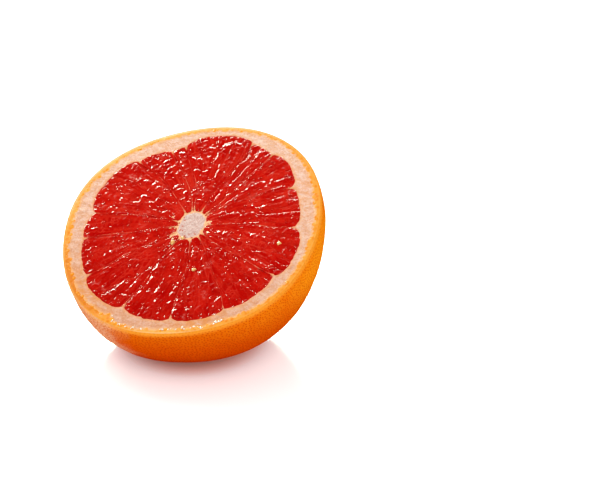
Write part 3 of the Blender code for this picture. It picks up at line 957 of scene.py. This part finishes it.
def make_pith(settings):
    """The ring of pith on the cut, with the coloured skin along its outer edge."""
    steps = 2 * PEEL_STEPS
    angle = full_turn(steps)
    inner = pulp_edge(angle)
    outer = face_rim(angle)
    zone = outer - PITH_FINE_PART
    rows = [(inner - 0.0006, -PIECE_DEPTH), (inner - 0.0005, -0.0006), (inner - 0.0002, -0.00026)]
    rows += [(inner, -0.00014)]
    rows += [(mix(inner + 0.0003, zone, share), PITH_LEVEL) for share in np.linspace(0.0, 1.0, 11)[:-1]]
    for share in np.linspace(0.0, 1.0, 19):
        rows.append((mix(zone, outer, share), PITH_LEVEL * (1.0 - smooth(share))))
    points = np.concatenate([polar(reach, angle, height) for reach, height in rows])
    turns = np.tile(angle, len(rows))
    reach = np.concatenate([row[0] for row in rows])
    from_rim = np.tile(outer, len(rows)) - reach
    band = 0.85 * skin_width(turns)
    skin = smooth((band - from_rim) / 0.0005 + 0.5)
    gland_angle, gland_inset, gland_radius = cut_glands()
    for spot, radius in zip(polar(face_rim(gland_angle) - gland_inset, gland_angle, 0.0), gland_radius):
        near = np.abs(points[:, :2] - spot[:2]).max(axis=1) < 0.0015
        gap = np.hypot(*(points[near, :2] - spot[:2]).T)
        skin[near] = np.maximum(skin[near], smooth((1.1 * radius - gap) / 0.0004 + 0.5))
    inside = reach - np.tile(inner, len(rows))
    free = smooth((from_rim - 0.0001) / 0.0008) * smooth(inside / 0.0006)
    relief = 0.00010 * lattice_noise(points, 0.0011, 8) + 0.00014 * lattice_noise(points, 0.0026, 9)
    relief += 0.00006 * lattice_noise(points, 0.0006, 10) + 0.00008 * skin
    points[:, 2] += relief * free
    low_angle = full_turn(PEEL_STEPS)
    points = np.concatenate((points, polar(face_rim(low_angle) - 0.0012, low_angle, -PIECE_DEPTH)))
    triangles = stitch([steps] * len(rows) + [PEEL_STEPS, steps], closed=True) % len(points)
    pad = np.ones(PEEL_STEPS)
    values = {
        "cut_skin": np.concatenate((skin, pad)),
        "skin_in": np.concatenate(((from_rim - band) * 1000.0, pad)),
        "rim_gap": np.concatenate((from_rim * 1000.0, pad)),
        "pulp_gap": np.concatenate((inside * 1000.0, pad)),
        "warm": np.concatenate((bays(turns, PITH_WARMTH), 0.0 * pad)),
        "tone": np.concatenate((bays(turns, SKIN_TONE), 0.0 * pad)),
    }
    dress(piece_object("pith", placed(points), triangles, values), pith_finish(settings))


def make_glands(settings):
    """Bubbles of the cut oil glands, half sunk in the coloured skin, and drops that stand on the peel."""
    angle, inset, size = cut_glands()
    draw = np.random.default_rng(PEEL_DROP_SEED)
    make_bubbles(
        "oil_glands", "Cut Glands", polar(face_rim(angle) - inset, angle, 0.00004 - 0.28 * size),
        size, draw.uniform(0.0, 6.28, GLAND_COUNT), settings.gland_radius, GLAND_SCALES, gland_finish(),
    )
    angle = np.radians(251.0 + 54.0 * draw.random(PEEL_DROP_COUNT) ** 1.3)
    size = mix(0.00022, 0.00055, draw.random(PEEL_DROP_COUNT) ** 1.5)
    inset = np.maximum(0.0008, skin_width(angle) * draw.uniform(0.75, 1.3, PEEL_DROP_COUNT))
    make_bubbles(
        "peel_drops", "Peel Drops", polar(face_rim(angle) - inset, angle, 0.0),
        size, draw.uniform(0.0, 6.28, PEEL_DROP_COUNT), settings.gland_radius, PEEL_DROP_SCALES,
        drop_glint_finish(),
    )


def blurred(values, spread):
    """Softens a grid by a bell of the given spread, in cells."""
    reach = int(math.ceil(3.0 * spread))
    weights = np.exp(-0.5 * (np.arange(-reach, reach + 1) / spread) ** 2)
    weights /= weights.sum()
    for axis in (0, 1):
        size = values.shape[axis]
        padded = np.pad(values, [(reach, reach) if side == axis else (0, 0) for side in (0, 1)], mode="edge")
        cells = np.arange(size)
        values = sum(
            weight * np.take(padded, cells + shift, axis=axis) for shift, weight in enumerate(weights)
        )
    return values


def soft_ceiling(height, ceiling, softness):
    """Presses heights smoothly under a ceiling, as the knife did."""
    return ceiling - softness * np.log1p(np.exp(np.clip((ceiling - height) / softness, -40.0, 40.0)))


class SacField:
    """One lobe's juice sacs, laid on a fine square grid: their heights, shades, streaks and walls."""

    def __init__(self, index):
        self.index = index
        across, along = np.meshgrid(np.linspace(0.0, 1.0, 60), np.linspace(0.0, 1.0, 40))
        x, y = lobe_point(index, across.ravel(), along.ravel())[:2]
        self.low = np.array((x.min(), y.min())) - FIELD_MARGIN
        high = np.array((x.max(), y.max())) + FIELD_MARGIN
        self.size = np.ceil((high - self.low) / FIELD_STEP).astype(int) + 1
        self.height = np.full(self.size, PULP_FLOOR)
        self.owner = np.full(self.size, -1)
        self.tint = np.full(self.size, 0.3)
        self.streak = np.full(self.size, 0.5)
        for number, sac in enumerate(self.sacs()):
            self.lay(number, sac)
        self.cover()

    def sacs(self):
        """Each sac's head and tail on the cut, its half width, level, bulge, bend and tint."""
        draw = np.random.default_rng(SAC_SEED + self.index)
        length = lobe_length(self.index)
        made = []
        upper = float(bays(lobe_middle(self.index), PROUD_LOBES))
        head = length + 0.0008
        while head > 0.0022:
            along = head / length
            wide = float(lobe_point(self.index, 0.5, along)[2])
            count = max(1, int(round(wide / 0.0025)))
            shift = draw.uniform(0.0, 1.0)
            for place in range(count):
                across = ((place + shift + draw.uniform(-0.3, 0.3)) / count) % 1.0
                reach = mix(*SAC_LENGTH, draw.random()) * mix(0.4, 1.0, along)
                top = along + draw.uniform(-0.0016, 0.0016) / length
                bottom = max(-0.06, top - reach / length)
                half = 0.5 * min(mix(*SAC_WIDTH, draw.random() ** 1.3), 1.25 * wide / count + 0.0006)
                ends = np.array((across, across + draw.uniform(-0.07, 0.07)))
                x, y = lobe_point(self.index, ends, np.array((top, bottom)))[:2]
                proud = draw.random() < mix(0.02, 0.15, smooth(along)) + upper
                level = mix(*(PROUD_LEVEL if proud else PLAIN_LEVEL), draw.random())
                bulge = mix(*(PROUD_BULGE if proud else PLAIN_BULGE), draw.random())
                made.append((x, y, half, level, bulge, draw.uniform(*SAC_BEND), draw.random()))
            head -= mix(*SAC_ROW_GAP, draw.random())
        return made

    def lay(self, number, sac):
        """Puts one sac on the grid, over what lies lower."""
        x, y, half, level, bulge, bend, tint = sac
        reach = half + abs(bend) + FIELD_STEP
        low = np.array((x.min(), y.min())) - reach - self.low
        high = np.array((x.max(), y.max())) + reach - self.low
        start = np.maximum((low / FIELD_STEP).astype(int), 0)
        end = np.minimum((high / FIELD_STEP).astype(int) + 1, self.size)
        if (end <= start).any():
            return
        window = (slice(start[0], end[0]), slice(start[1], end[1]))
        grid_x = self.low[0] + FIELD_STEP * np.arange(start[0], end[0])[:, None] - x[0]
        grid_y = self.low[1] + FIELD_STEP * np.arange(start[1], end[1])[None, :] - y[0]
        length = math.hypot(x[1] - x[0], y[1] - y[0])
        run_x = (x[1] - x[0]) / length
        run_y = (y[1] - y[0]) / length
        share = (grid_x * run_x + grid_y * run_y) / length
        side = grid_y * run_x - grid_x * run_y - bend * 4.0 * share * (1.0 - share)
        crown = min(0.45, half / length)
        head = np.clip(1.0 - share / crown, 0.0, 1.0)
        tail = np.clip((share - crown) / (1.0 - crown), 0.0, 1.0)
        taper = 1.0 - tail ** 1.7
        rounded = 1.0 - head ** 2 - (side / half) ** 2
        tapered = taper * (1.0 - (side / np.maximum(half * taper, 1e-9)) ** 2)
        dome = np.where(head > 0.0, rounded, tapered)
        dome = dome * (0.66 + 0.34 * np.sin(2.0 * math.pi * share * length / 0.0027 + 2.4 * number))
        inside = (share > 0.0) & (share < 1.0) & (dome > 0.0)
        height = np.where(inside, level + bulge * half * dome, PULP_FLOOR)
        won = height > self.height[window]
        self.height[window] = np.where(won, height, self.height[window])
        self.owner[window] = np.where(won, number, self.owner[window])
        self.tint[window] = np.where(won, tint, self.tint[window])
        layer = np.full(int(won.sum()), number * 3.7)
        spots = np.stack((side[won] / 0.0008, share[won] * length / 0.007, layer), axis=1)
        self.streak[window][won] = 0.5 + 0.5 * lattice_noise(spots, 1.0, 64)

    def cover(self):
        """Presses the sacs level, finds the walls between them, and lifts a lip along some of these."""
        axes = [self.low[side] + FIELD_STEP * np.arange(self.size[side]) for side in (0, 1)]
        grid = np.meshgrid(*axes, indexing="ij")
        spots = flat_points(grid[0].ravel(), grid[1].ravel())

        def noise(size, seed, places=spots):
            return lattice_noise(places, size, seed).reshape(self.size)

        edge = np.zeros(self.size)
        edge[1:, :] += self.owner[1:, :] != self.owner[:-1, :]
        edge[:, 1:] += self.owner[:, 1:] != self.owner[:, :-1]
        line = np.clip(2.6 * blurred(np.minimum(edge, 1.0), 1.25), 0.0, 1.0)
        self.wall = line * smooth(0.55 + 0.9 * noise(0.0042, 90 + self.index))
        outward = np.hypot(*grid) / 0.047
        lip = smooth((noise(0.0019, 50 + self.index) - 0.05) / 0.5)
        lip = lip * mix(0.35, 1.0, smooth((outward - 0.35) / 0.5))
        relief = soft_ceiling(self.height, 0.00030, 0.00008)
        relief += 0.00007 * blurred(line, 0.8) * lip
        relief += 0.00009 * noise(0.0012, 70 + self.index)
        turned = spots @ np.array(Matrix.Rotation(0.5 + self.index, 3, "Z")).T
        knots = noise(0.00145, 110 + self.index, turned * np.array((0.7, 1.0, 1.0)))
        more = 0.40 + bays(lobe_middle(self.index), KNOTTED_LOBES) + 0.75 * noise(0.0085, 130, turned)
        relief += 0.00022 * smooth((knots - 0.16) / 0.62) * smooth(more)
        relief += 0.00013 * noise(0.0031, 30 + self.index)
        self.height = blurred(relief, 0.8)

    def read(self, values, x, y):
        """Reads a grid of values at points of the cut."""
        place_x = np.clip((x - self.low[0]) / FIELD_STEP, 0.0, self.size[0] - 1.001)
        place_y = np.clip((y - self.low[1]) / FIELD_STEP, 0.0, self.size[1] - 1.001)
        column = place_x.astype(int)
        row = place_y.astype(int)
        share_x = place_x - column
        share_y = place_y - row
        near = mix(values[column, row], values[column + 1, row], share_x)
        far = mix(values[column, row + 1], values[column + 1, row + 1], share_x)
        return mix(near, far, share_y)


def lobe_rows(index, gap):
    """Across and along values of a lobe's points, row by row, with fewer columns towards the core."""
    count = int(lobe_length(index) / gap)
    columns = 8 * max(2, int(math.ceil(lobe_width(index) / gap / 8.0)))
    rows = []
    for row in range(count + 1):
        along = 1.0 + (0.00025 - (lobe_length(index) + 0.00045) * row / count) / lobe_length(index)
        wide = lobe_width(index) * (PULP_START + along * lobe_length(index)) / LOBE_REACH[index]
        while columns % 2 == 0 and columns > 8 and wide / columns < 0.55 * gap:
            columns //= 2
        across = np.arange(columns + 1) / columns
        across = mix(across, 0.5 - 0.5 * np.cos(math.pi * across), 0.35)
        rows.append((across, np.full(columns + 1, along)))
    return rows


def fold(share):
    """How far down a lobe's edge folds: 1 at the edge, falling almost evenly to 0."""
    share = np.clip(share, 0.0, 1.0)
    return 1.0 - mix(share, smooth(share), 0.4)


def make_lobe(index, settings, material):
    """One lobe: its top with the sacs in relief, grooves along its edges, and a keel that closes it below."""
    rows = lobe_rows(index, settings.sac_detail)
    across = np.concatenate([row[0] for row in rows])
    along = np.concatenate([row[1] for row in rows])
    x, y, wide = lobe_point(index, across, along, wall=LOBE_WALL)
    field = SacField(index)
    relief = field.read(field.height, x, y)
    side = np.minimum(across, 1.0 - across) * wide
    end = (1.0 - along) * lobe_length(index)
    start = along * lobe_length(index)
    pillow = smooth(side / 0.0007) * smooth(end / 0.0009) * smooth((start + 0.0002) / 0.0010)
    spots = flat_points(x, y)
    dashes = smooth((lattice_noise(spots, 0.0020, 44) - 0.08) / 0.35)
    dots = smooth((lattice_noise(spots, 0.0011, 45) - 0.1) / 0.4)
    height = relief * mix(0.5, 1.0, pillow)
    glints = (MEMBRANES[index][3], MEMBRANES[(index + 1) % LOBE_COUNT][3])
    for gap, glint in zip((across * wide, (1.0 - across) * wide), glints):
        height -= mix(0.00003, 0.00038, glint * dashes) * fold(gap / mix(0.0005, 0.00085, glint))
    height -= mix(0.00002, 0.00015, dots) * fold(end / 0.0005) + 0.00008 * fold((start + 0.0002) / 0.0006)
    height += 0.00010 * smooth((lattice_noise(spots, 0.0010, 46) - 0.05) / 0.4) * smooth(1.0 - end / 0.0040)
    height -= 1.3 * np.maximum(0.0, -end)
    top = np.stack((x, y, height), axis=1)
    counts = [len(row[0]) for row in rows]
    starts = np.concatenate(([0], np.cumsum(counts)))
    last_row = np.arange(starts[-1] - 2, starts[-2] - 1, -1)
    loop = np.concatenate((np.arange(counts[0]), starts[2:] - 1, last_row, starts[-3:0:-1]))
    skirt = top[loop] * np.array((1.0, 1.0, 0.0)) + np.array((0.0, 0.0, -PIECE_DEPTH))
    keel = skirt.mean(axis=0)[None, :] + np.array((0.0, 0.0, -0.004))
    low = len(top) + np.arange(len(loop))
    ahead = np.roll(loop, -1)
    low_ahead = np.roll(low, -1)
    triangles = np.concatenate((
        stitch(counts, closed=False),
        np.stack((loop, ahead, low_ahead), axis=1),
        np.stack((loop, low_ahead, low), axis=1),
        np.stack((low, low_ahead, np.full(len(low), len(top) + len(loop))), axis=1),
    ))
    pad = np.zeros(len(loop) + 1)
    kept = (("sac_tint", field.tint), ("sac_streak", field.streak), ("sac_wall", field.wall))
    values = {name: np.concatenate((field.read(grid, x, y), pad)) for name, grid in kept}
    points = placed(np.concatenate((top, skirt, keel)))
    dress(piece_object(f"pulp_lobe_{index + 1:02d}", points, triangles, values), material)
    return field


def make_pulp(settings):
    """The lobes, and the juice beads that stand on them."""
    material = pulp_finish(settings)
    draw = np.random.default_rng(SAC_SEED)
    points = []
    sizes = []
    spins = []
    for index in range(LOBE_COUNT):
        field = make_lobe(index, settings, material)
        count = int(settings.bead_count * lobe_width(index) / 0.30)
        across = draw.uniform(0.06, 0.94, count)
        along = 0.985 - 0.93 * draw.random(count) ** 1.7
        x, y, wide = lobe_point(index, across, along)
        size = draw.uniform(0.00028, 0.00058, count) * np.minimum(1.0, wide / 0.006)
        points.append(np.stack((x, y, field.read(field.height, x, y) + 0.02 * size), axis=1))
        sizes.append(size)
        spins.append(np.arctan2(y, x) + draw.normal(0.0, 0.5, count))
    spins.append(np.radians(draw.uniform(238.0, 300.0, CORE_DROP_COUNT)))
    sizes.append(draw.uniform(0.00030, 0.00060, CORE_DROP_COUNT))
    points.append(polar(draw.uniform(0.0086, 0.0135, CORE_DROP_COUNT), spins[-1], -0.00002))
    make_bubbles(
        "juice_beads", "Juice Beads", np.concatenate(points), np.concatenate(sizes),
        np.concatenate(spins), settings.bead_radius, BEAD_SCALES, bead_finish(),
    )


def make_membranes():
    """The walls between the lobes, each a thin strip on edge with a rounded crest."""
    points = []
    pale = []
    triangles = []
    section = np.array((
        (-1.0, -1.0), (-1.0, -0.14), (-0.7, -0.04), (0.0, 0.0), (0.7, -0.04), (1.0, -0.14), (1.0, -1.0),
    ))
    size = len(section)
    count = MEMBRANE_STEPS
    along = np.linspace(-0.03, 1.03, count)
    for index in range(LOBE_COUNT):
        reach = mix(float(lobe_start(index, 0.0)), MEMBRANES[index][2], along)
        path = polar(reach, membrane_angle(index, along), 0.0)
        run = np.gradient(path, axis=0)
        run /= np.linalg.norm(run, axis=1)[:, None]
        across = np.stack((-run[:, 1], run[:, 0], np.zeros(count)), axis=1)
        path += across * (0.00010 * lattice_noise(path, 0.0031, 12))[:, None]
        half = 0.00014 + 0.00005 * lattice_noise(path, 0.0028, 13)
        half += 0.0005 * smooth((along - 0.96) / 0.07) + 0.0002 * smooth((0.04 - along) / 0.07)
        crest = -0.00002 + 0.00010 * lattice_noise(path, 0.0036, 14)
        rows = []
        for sideways, height in section:
            row = path + across * (half * sideways)[:, None]
            row[:, 2] = crest + height * (CREST_SIZE if height > -0.9 else PIECE_DEPTH)
            rows.append(row)
        base = index * size * count
        wrapped = [stitch([size] * count, closed=True)]
        for end in (0, (count - 1) * size):
            fan = end + 1 + np.arange(size - 2)
            wrapped.append(np.stack((np.full(size - 2, end), fan, fan + 1), axis=1))
        points.append(np.stack(rows, axis=1).reshape(-1, 3))
        triangles.append(np.concatenate(wrapped) + base)
        pale_ends = np.maximum(0.8 * smooth((0.06 - along) / 0.08), 0.9 * smooth((along - 0.95) / 0.05))
        pale.append(np.repeat(pale_ends, size))
    values = {"pale": np.concatenate(pale)}
    walls = piece_object("membranes", placed(np.concatenate(points)), np.concatenate(triangles), values)
    dress(walls, membrane_finish())


def make_core():
    """The spongy middle, with a star of paler flesh round it that shows between the lobes."""
    angle = full_turn(CORE_STEPS)
    rows = [np.zeros((1, 3))]
    rows += [polar(radius, angle, 0.0) for radius in np.linspace(0.0003, CORE_RADIUS, CORE_RINGS)]
    points = np.concatenate(rows)
    reach = np.hypot(points[:, 0], points[:, 1])
    turns = np.arctan2(points[:, 1], points[:, 0])
    heading = points / np.maximum(reach, 1e-6)[:, None]
    sponge_edge = SPONGE_RADIUS * core_stretch(turns) + 0.0006 * lattice_noise(heading, 0.35, 40)
    star = smooth((reach - sponge_edge) / 0.0007 + 0.5)
    relief = 0.00020 * lattice_noise(points, 0.0013, 41) + 0.00012 * lattice_noise(points, 0.0006, 42)
    points[:, 2] = mix(-0.0001, -0.00032, smooth((reach - 0.0050) / 0.0024)) + relief * mix(1.0, 0.4, star)
    left_low = smooth(0.5 - (points[:, 0] + points[:, 1]) / 0.006)
    pitted = smooth((reach - 0.0030) / 0.0012) * smooth((0.0072 - reach) / 0.0006) * left_low
    low = rows[-1] * 0.6 + np.array((0.0, 0.0, -0.005))
    points = np.concatenate((points, low, np.array(((0.0, 0.0, -0.006),))))
    pad = np.ones(CORE_STEPS + 1)
    values = {"star": np.concatenate((star, pad)), "pitted": np.concatenate((pitted, 0.0 * pad))}
    triangles = stitch([len(row) for row in rows] + [CORE_STEPS, 1], closed=True)
    dress(piece_object("core", placed(points), triangles, values), core_finish())


def make_seeds():
    """Stunted seeds: small pointed drops sunk into the pulp."""
    material = seed_finish()
    for number, (reach, angle, length, turn, rise) in enumerate(SEEDS):
        rings = []
        for share in np.linspace(0.0, 1.0, SEED_RINGS):
            radius = 0.36 * length * math.sin(math.pi * share ** 0.8) ** 0.8 if 0.0 < share < 1.0 else 0.0
            around = full_turn(SEED_STEPS if radius > 0.0 else 1)
            far = np.full(len(around), (share - 0.5) * length)
            rings.append(np.stack((far, radius * np.cos(around), 0.7 * radius * np.sin(around)), axis=1))
        points = np.concatenate(rings)
        dents = [lattice_noise(points + number * 0.01, 0.0007, seed) for seed in (19, 20, 21)]
        points += 0.00024 * np.stack(dents, axis=1)
        points = points @ np.array(Matrix.Rotation(math.radians(angle + turn), 3, "Z")).T
        middle = polar(reach, math.radians(angle), rise)
        triangles = stitch([len(ring) for ring in rings], closed=True)
        dress(piece_object(f"seed_{number + 1}", placed(points + middle), triangles), material)


def make_scar():
    """The stem scar: a low corky star with a sunk middle, in the dimple."""
    angle = full_turn(SCAR_STEPS)
    star = SCAR_RADIUS * (1.0 + 0.10 * np.cos(SCAR_POINTS * angle) + 0.03 * np.cos(11.0 * angle))
    shares = np.linspace(0.05, 1.0, SCAR_RINGS)
    rings = [polar(star * share * 1.15, angle, share) for share in shares]
    points = np.concatenate([np.zeros((1, 3))] + rings)
    share = points[:, 2].copy()
    reach = np.hypot(points[:, 0], points[:, 1])
    rise = SCAR_RISE * smooth((1.0 - share) / 0.22) - 0.45 * SCAR_RISE * smooth(1.0 - share / 0.5)
    rise += 0.00012 * lattice_noise(points * np.array((1.0, 1.0, 0.0)), 0.0007, 28)
    depth = BELLY_DEPTH + (STEM_DEPTH - BELLY_DEPTH) * round_off(reach / belly_radius())
    depth += stem_relief(reach, np.arctan2(points[:, 1], points[:, 0]))
    points[:, 2] = 0.00012 - depth - rise
    cap = points[-SCAR_STEPS:] + np.array((0.0, 0.0, 0.0012))
    points = np.concatenate((points, cap, cap.mean(axis=0)[None, :]))
    triangles = stitch([1] + [SCAR_STEPS] * (SCAR_RINGS + 1) + [1], closed=True)
    dress(piece_object("stem_scar", placed(points), triangles), scar_finish())


# The camera: where it stands from the middle of the cut, the turn and the height of its line of sight,
# and its lens and sensor in millimetres.
CAMERA_OFFSET = np.array((0.25413, -0.53278, 0.28830))
CAMERA_AZIMUTH = math.radians(21.15)
CAMERA_ELEVATION = math.radians(27.0)
CAMERA_LENS = 95.4
SENSOR_WIDTH = 36.0
# The floor's width, and how far it lies under the fruit's flat spot, so that the two do not share a plane.
FLOOR_SIZE = 12.0
FLOOR_DROP = 0.0001
# Colour of the lights that show in wet surfaces: cool, so that glints look white on the red pulp.
GLOSS_COLOUR = (0.62, 1.0, 0.84)
# Each light: name, direction and distance from the cut, size, power, and whether it is a gloss light.
LIGHTS = (
    ("key_light", (-0.65, 0.30, 0.95), 0.9, (0.6, 0.6), 4.0, False),
    ("fill_light", (0.60, -0.70, 0.75), 1.2, (0.9, 0.9), 3.5, False),
    ("gloss_back", (-0.35, 0.78, 0.46), 1.0, (0.84, 0.25), 19.0, True),
    ("gloss_left", (-0.84, 0.38, 0.38), 1.0, (0.32, 0.30), 8.0, True),
    ("gloss_corner", (-0.70, 0.63, 0.33), 1.0, (0.34, 0.24), 8.0, True),
    ("gloss_haze", (-0.45, 0.74, 0.50), 1.1, (1.4, 0.8), 5.0, True),
)


def look_along(item, direction):
    item.rotation_euler = Vector(direction).to_track_quat("-Z", "Y").to_euler()


def soft_light(name, towards, distance, size, power, gloss):
    """A soft light that faces the fruit: a gloss light shows in wet surfaces only, others light the scene."""
    lamp = bpy.data.lights.new(name, "AREA")
    lamp.shape = "RECTANGLE"
    lamp.size, lamp.size_y = size
    lamp.energy = power
    light = bpy.data.objects.new(name, lamp)
    bpy.context.scene.collection.objects.link(light)
    direction = Vector(towards).normalized()
    light.location = Vector(FACE_CENTRE) + direction * distance
    look_along(light, -direction)
    if gloss:
        lamp.color = GLOSS_COLOUR
    light.visible_diffuse = not gloss
    light.visible_glossy = gloss
    light.visible_camera = False


def make_stage(settings):
    """The floor, the camera, the even light of the room, and the lights."""
    scene = bpy.context.scene
    bpy.ops.mesh.primitive_plane_add(size=FLOOR_SIZE)
    floor = bpy.context.active_object
    floor.name = "studio_floor"
    floor.data.transform(Matrix.Translation((0.0, 0.0, -FLOOR_DROP)))
    floor.data.materials.append(floor_finish())
    back = Vector((
        math.sin(CAMERA_AZIMUTH) * math.cos(CAMERA_ELEVATION),
        -math.cos(CAMERA_AZIMUTH) * math.cos(CAMERA_ELEVATION),
        math.sin(CAMERA_ELEVATION),
    ))
    eye = bpy.data.cameras.new("camera")
    eye.lens = CAMERA_LENS
    eye.sensor_width = SENSOR_WIDTH
    eye.clip_start = 0.01
    camera = bpy.data.objects.new("camera", eye)
    scene.collection.objects.link(camera)
    camera.location = Vector(FACE_CENTRE + CAMERA_OFFSET)
    look_along(camera, -back)
    scene.camera = camera
    world = bpy.data.worlds.new("studio")
    world.use_nodes = True
    room = world.node_tree.nodes["Background"].inputs
    room["Color"].default_value = (1.0, 1.0, 1.0, 1.0)
    room["Strength"].default_value = settings.room_light
    scene.world = world
    world.cycles_visibility.glossy = False
    for light in LIGHTS:
        soft_light(*light)
    scene.view_settings.view_transform = "Standard"


class GRAPEFRUIT_PG_settings(bpy.types.PropertyGroup):
    """The fruit's colours and sizes, and the strength of the room's light"""

    rind_colour: bpy.props.FloatVectorProperty(
        name="Rind Colour", description="Colour of the peel between its pores", subtype="COLOR", size=4,
        default=linear(236, 134, 13), min=0.0, max=1.0,
    )
    pith_colour: bpy.props.FloatVectorProperty(
        name="Pith Colour", description="Colour of the soft ring under the peel", subtype="COLOR", size=4,
        default=linear(228, 191, 168), min=0.0, max=1.0,
    )
    pulp_colour: bpy.props.FloatVectorProperty(
        name="Pulp Colour", description="Colour of the juice sacs", subtype="COLOR", size=4,
        default=linear(182, 10, 5), min=0.0, max=1.0,
    )
    pore_spacing: bpy.props.FloatProperty(
        name="Pore Spacing", description="Least distance between two oil pores",
        default=0.00108, unit="LENGTH",
    )
    pore_width: bpy.props.FloatProperty(
        name="Pore Width", description="Radius of the dent round a pore", default=0.00056, unit="LENGTH",
    )
    pore_depth: bpy.props.FloatProperty(
        name="Pore Depth", description="Depth of the dent round a pore", default=0.00013, unit="LENGTH",
    )
    gland_radius: bpy.props.FloatProperty(
        name="Gland Radius", description="Radius of a usual cut oil gland", default=0.0006, unit="LENGTH",
    )
    sac_detail: bpy.props.FloatProperty(
        name="Sac Detail", description="Distance between the points of the pulp's mesh",
        default=0.00018, unit="LENGTH",
    )
    bead_count: bpy.props.IntProperty(
        name="Bead Count", description="How many juice beads stand on the cut", default=440, min=0,
    )
    bead_radius: bpy.props.FloatProperty(
        name="Bead Radius", description="Radius of a usual juice bead", default=0.00035, unit="LENGTH",
    )
    room_light: bpy.props.FloatProperty(
        name="Room Light", description="Strength of the even light from all round", default=0.86, min=0.0,
    )


class GRAPEFRUIT_OT_rind(bpy.types.Operator):
    """Make the peel with its oil pores"""

    bl_idname = "grapefruit.rind"
    bl_label = "Rind"

    def execute(self, context):
        make_rind(context.scene.grapefruit)
        return {"FINISHED"}


class GRAPEFRUIT_OT_pith(bpy.types.Operator):
    """Make the cut ring of pith and coloured skin"""

    bl_idname = "grapefruit.pith"
    bl_label = "Pith Ring"

    def execute(self, context):
        make_pith(context.scene.grapefruit)
        return {"FINISHED"}


class GRAPEFRUIT_OT_glands(bpy.types.Operator):
    """Make the cut oil glands along the coloured skin"""

    bl_idname = "grapefruit.glands"
    bl_label = "Oil Glands"

    def execute(self, context):
        make_glands(context.scene.grapefruit)
        return {"FINISHED"}


class GRAPEFRUIT_OT_pulp(bpy.types.Operator):
    """Make the lobes with their juice sacs and beads"""

    bl_idname = "grapefruit.pulp"
    bl_label = "Pulp Lobes"

    def execute(self, context):
        make_pulp(context.scene.grapefruit)
        return {"FINISHED"}


class GRAPEFRUIT_OT_membranes(bpy.types.Operator):
    """Make the thin walls between the lobes"""

    bl_idname = "grapefruit.membranes"
    bl_label = "Membranes"

    def execute(self, context):
        make_membranes()
        return {"FINISHED"}


class GRAPEFRUIT_OT_core(bpy.types.Operator):
    """Make the spongy core"""

    bl_idname = "grapefruit.core"
    bl_label = "Core"

    def execute(self, context):
        make_core()
        return {"FINISHED"}


class GRAPEFRUIT_OT_seeds(bpy.types.Operator):
    """Make the stunted seeds"""

    bl_idname = "grapefruit.seeds"
    bl_label = "Seeds"

    def execute(self, context):
        make_seeds()
        return {"FINISHED"}


class GRAPEFRUIT_OT_scar(bpy.types.Operator):
    """Make the stem scar under the fruit"""

    bl_idname = "grapefruit.scar"
    bl_label = "Stem Scar"

    def execute(self, context):
        make_scar()
        return {"FINISHED"}


class GRAPEFRUIT_OT_stage(bpy.types.Operator):
    """Make the floor, the lights and the camera"""

    bl_idname = "grapefruit.stage"
    bl_label = "Stage"

    def execute(self, context):
        make_stage(context.scene.grapefruit)
        return {"FINISHED"}


STEPS = (
    GRAPEFRUIT_OT_rind,
    GRAPEFRUIT_OT_pith,
    GRAPEFRUIT_OT_glands,
    GRAPEFRUIT_OT_pulp,
    GRAPEFRUIT_OT_membranes,
    GRAPEFRUIT_OT_core,
    GRAPEFRUIT_OT_seeds,
    GRAPEFRUIT_OT_scar,
    GRAPEFRUIT_OT_stage,
)


class GRAPEFRUIT_PT_panel(bpy.types.Panel):
    """Lists the fruit's sizes and colours, and a button for each group of pieces"""

    bl_label = "Grapefruit"
    bl_space_type = "VIEW_3D"
    bl_region_type = "UI"
    bl_category = "Grapefruit"

    def draw(self, context):
        for name in GRAPEFRUIT_PG_settings.__annotations__:
            self.layout.prop(context.scene.grapefruit, name)
        for step in STEPS:
            self.layout.operator(step.bl_idname)


CLASSES = (GRAPEFRUIT_PG_settings,) + STEPS + (GRAPEFRUIT_PT_panel,)


def register():
    for item in CLASSES:
        bpy.utils.register_class(item)
    bpy.types.Scene.grapefruit = bpy.props.PointerProperty(type=GRAPEFRUIT_PG_settings)


def unregister():
    del bpy.types.Scene.grapefruit
    for item in reversed(CLASSES):
        bpy.utils.unregister_class(item)


def main():
    register()
    bpy.ops.grapefruit.rind()
    bpy.ops.grapefruit.pith()
    bpy.ops.grapefruit.glands()
    bpy.ops.grapefruit.pulp()
    bpy.ops.grapefruit.membranes()
    bpy.ops.grapefruit.core()
    bpy.ops.grapefruit.seeds()
    bpy.ops.grapefruit.scar()
    bpy.ops.grapefruit.stage()


if __name__ == "__main__":
    main()
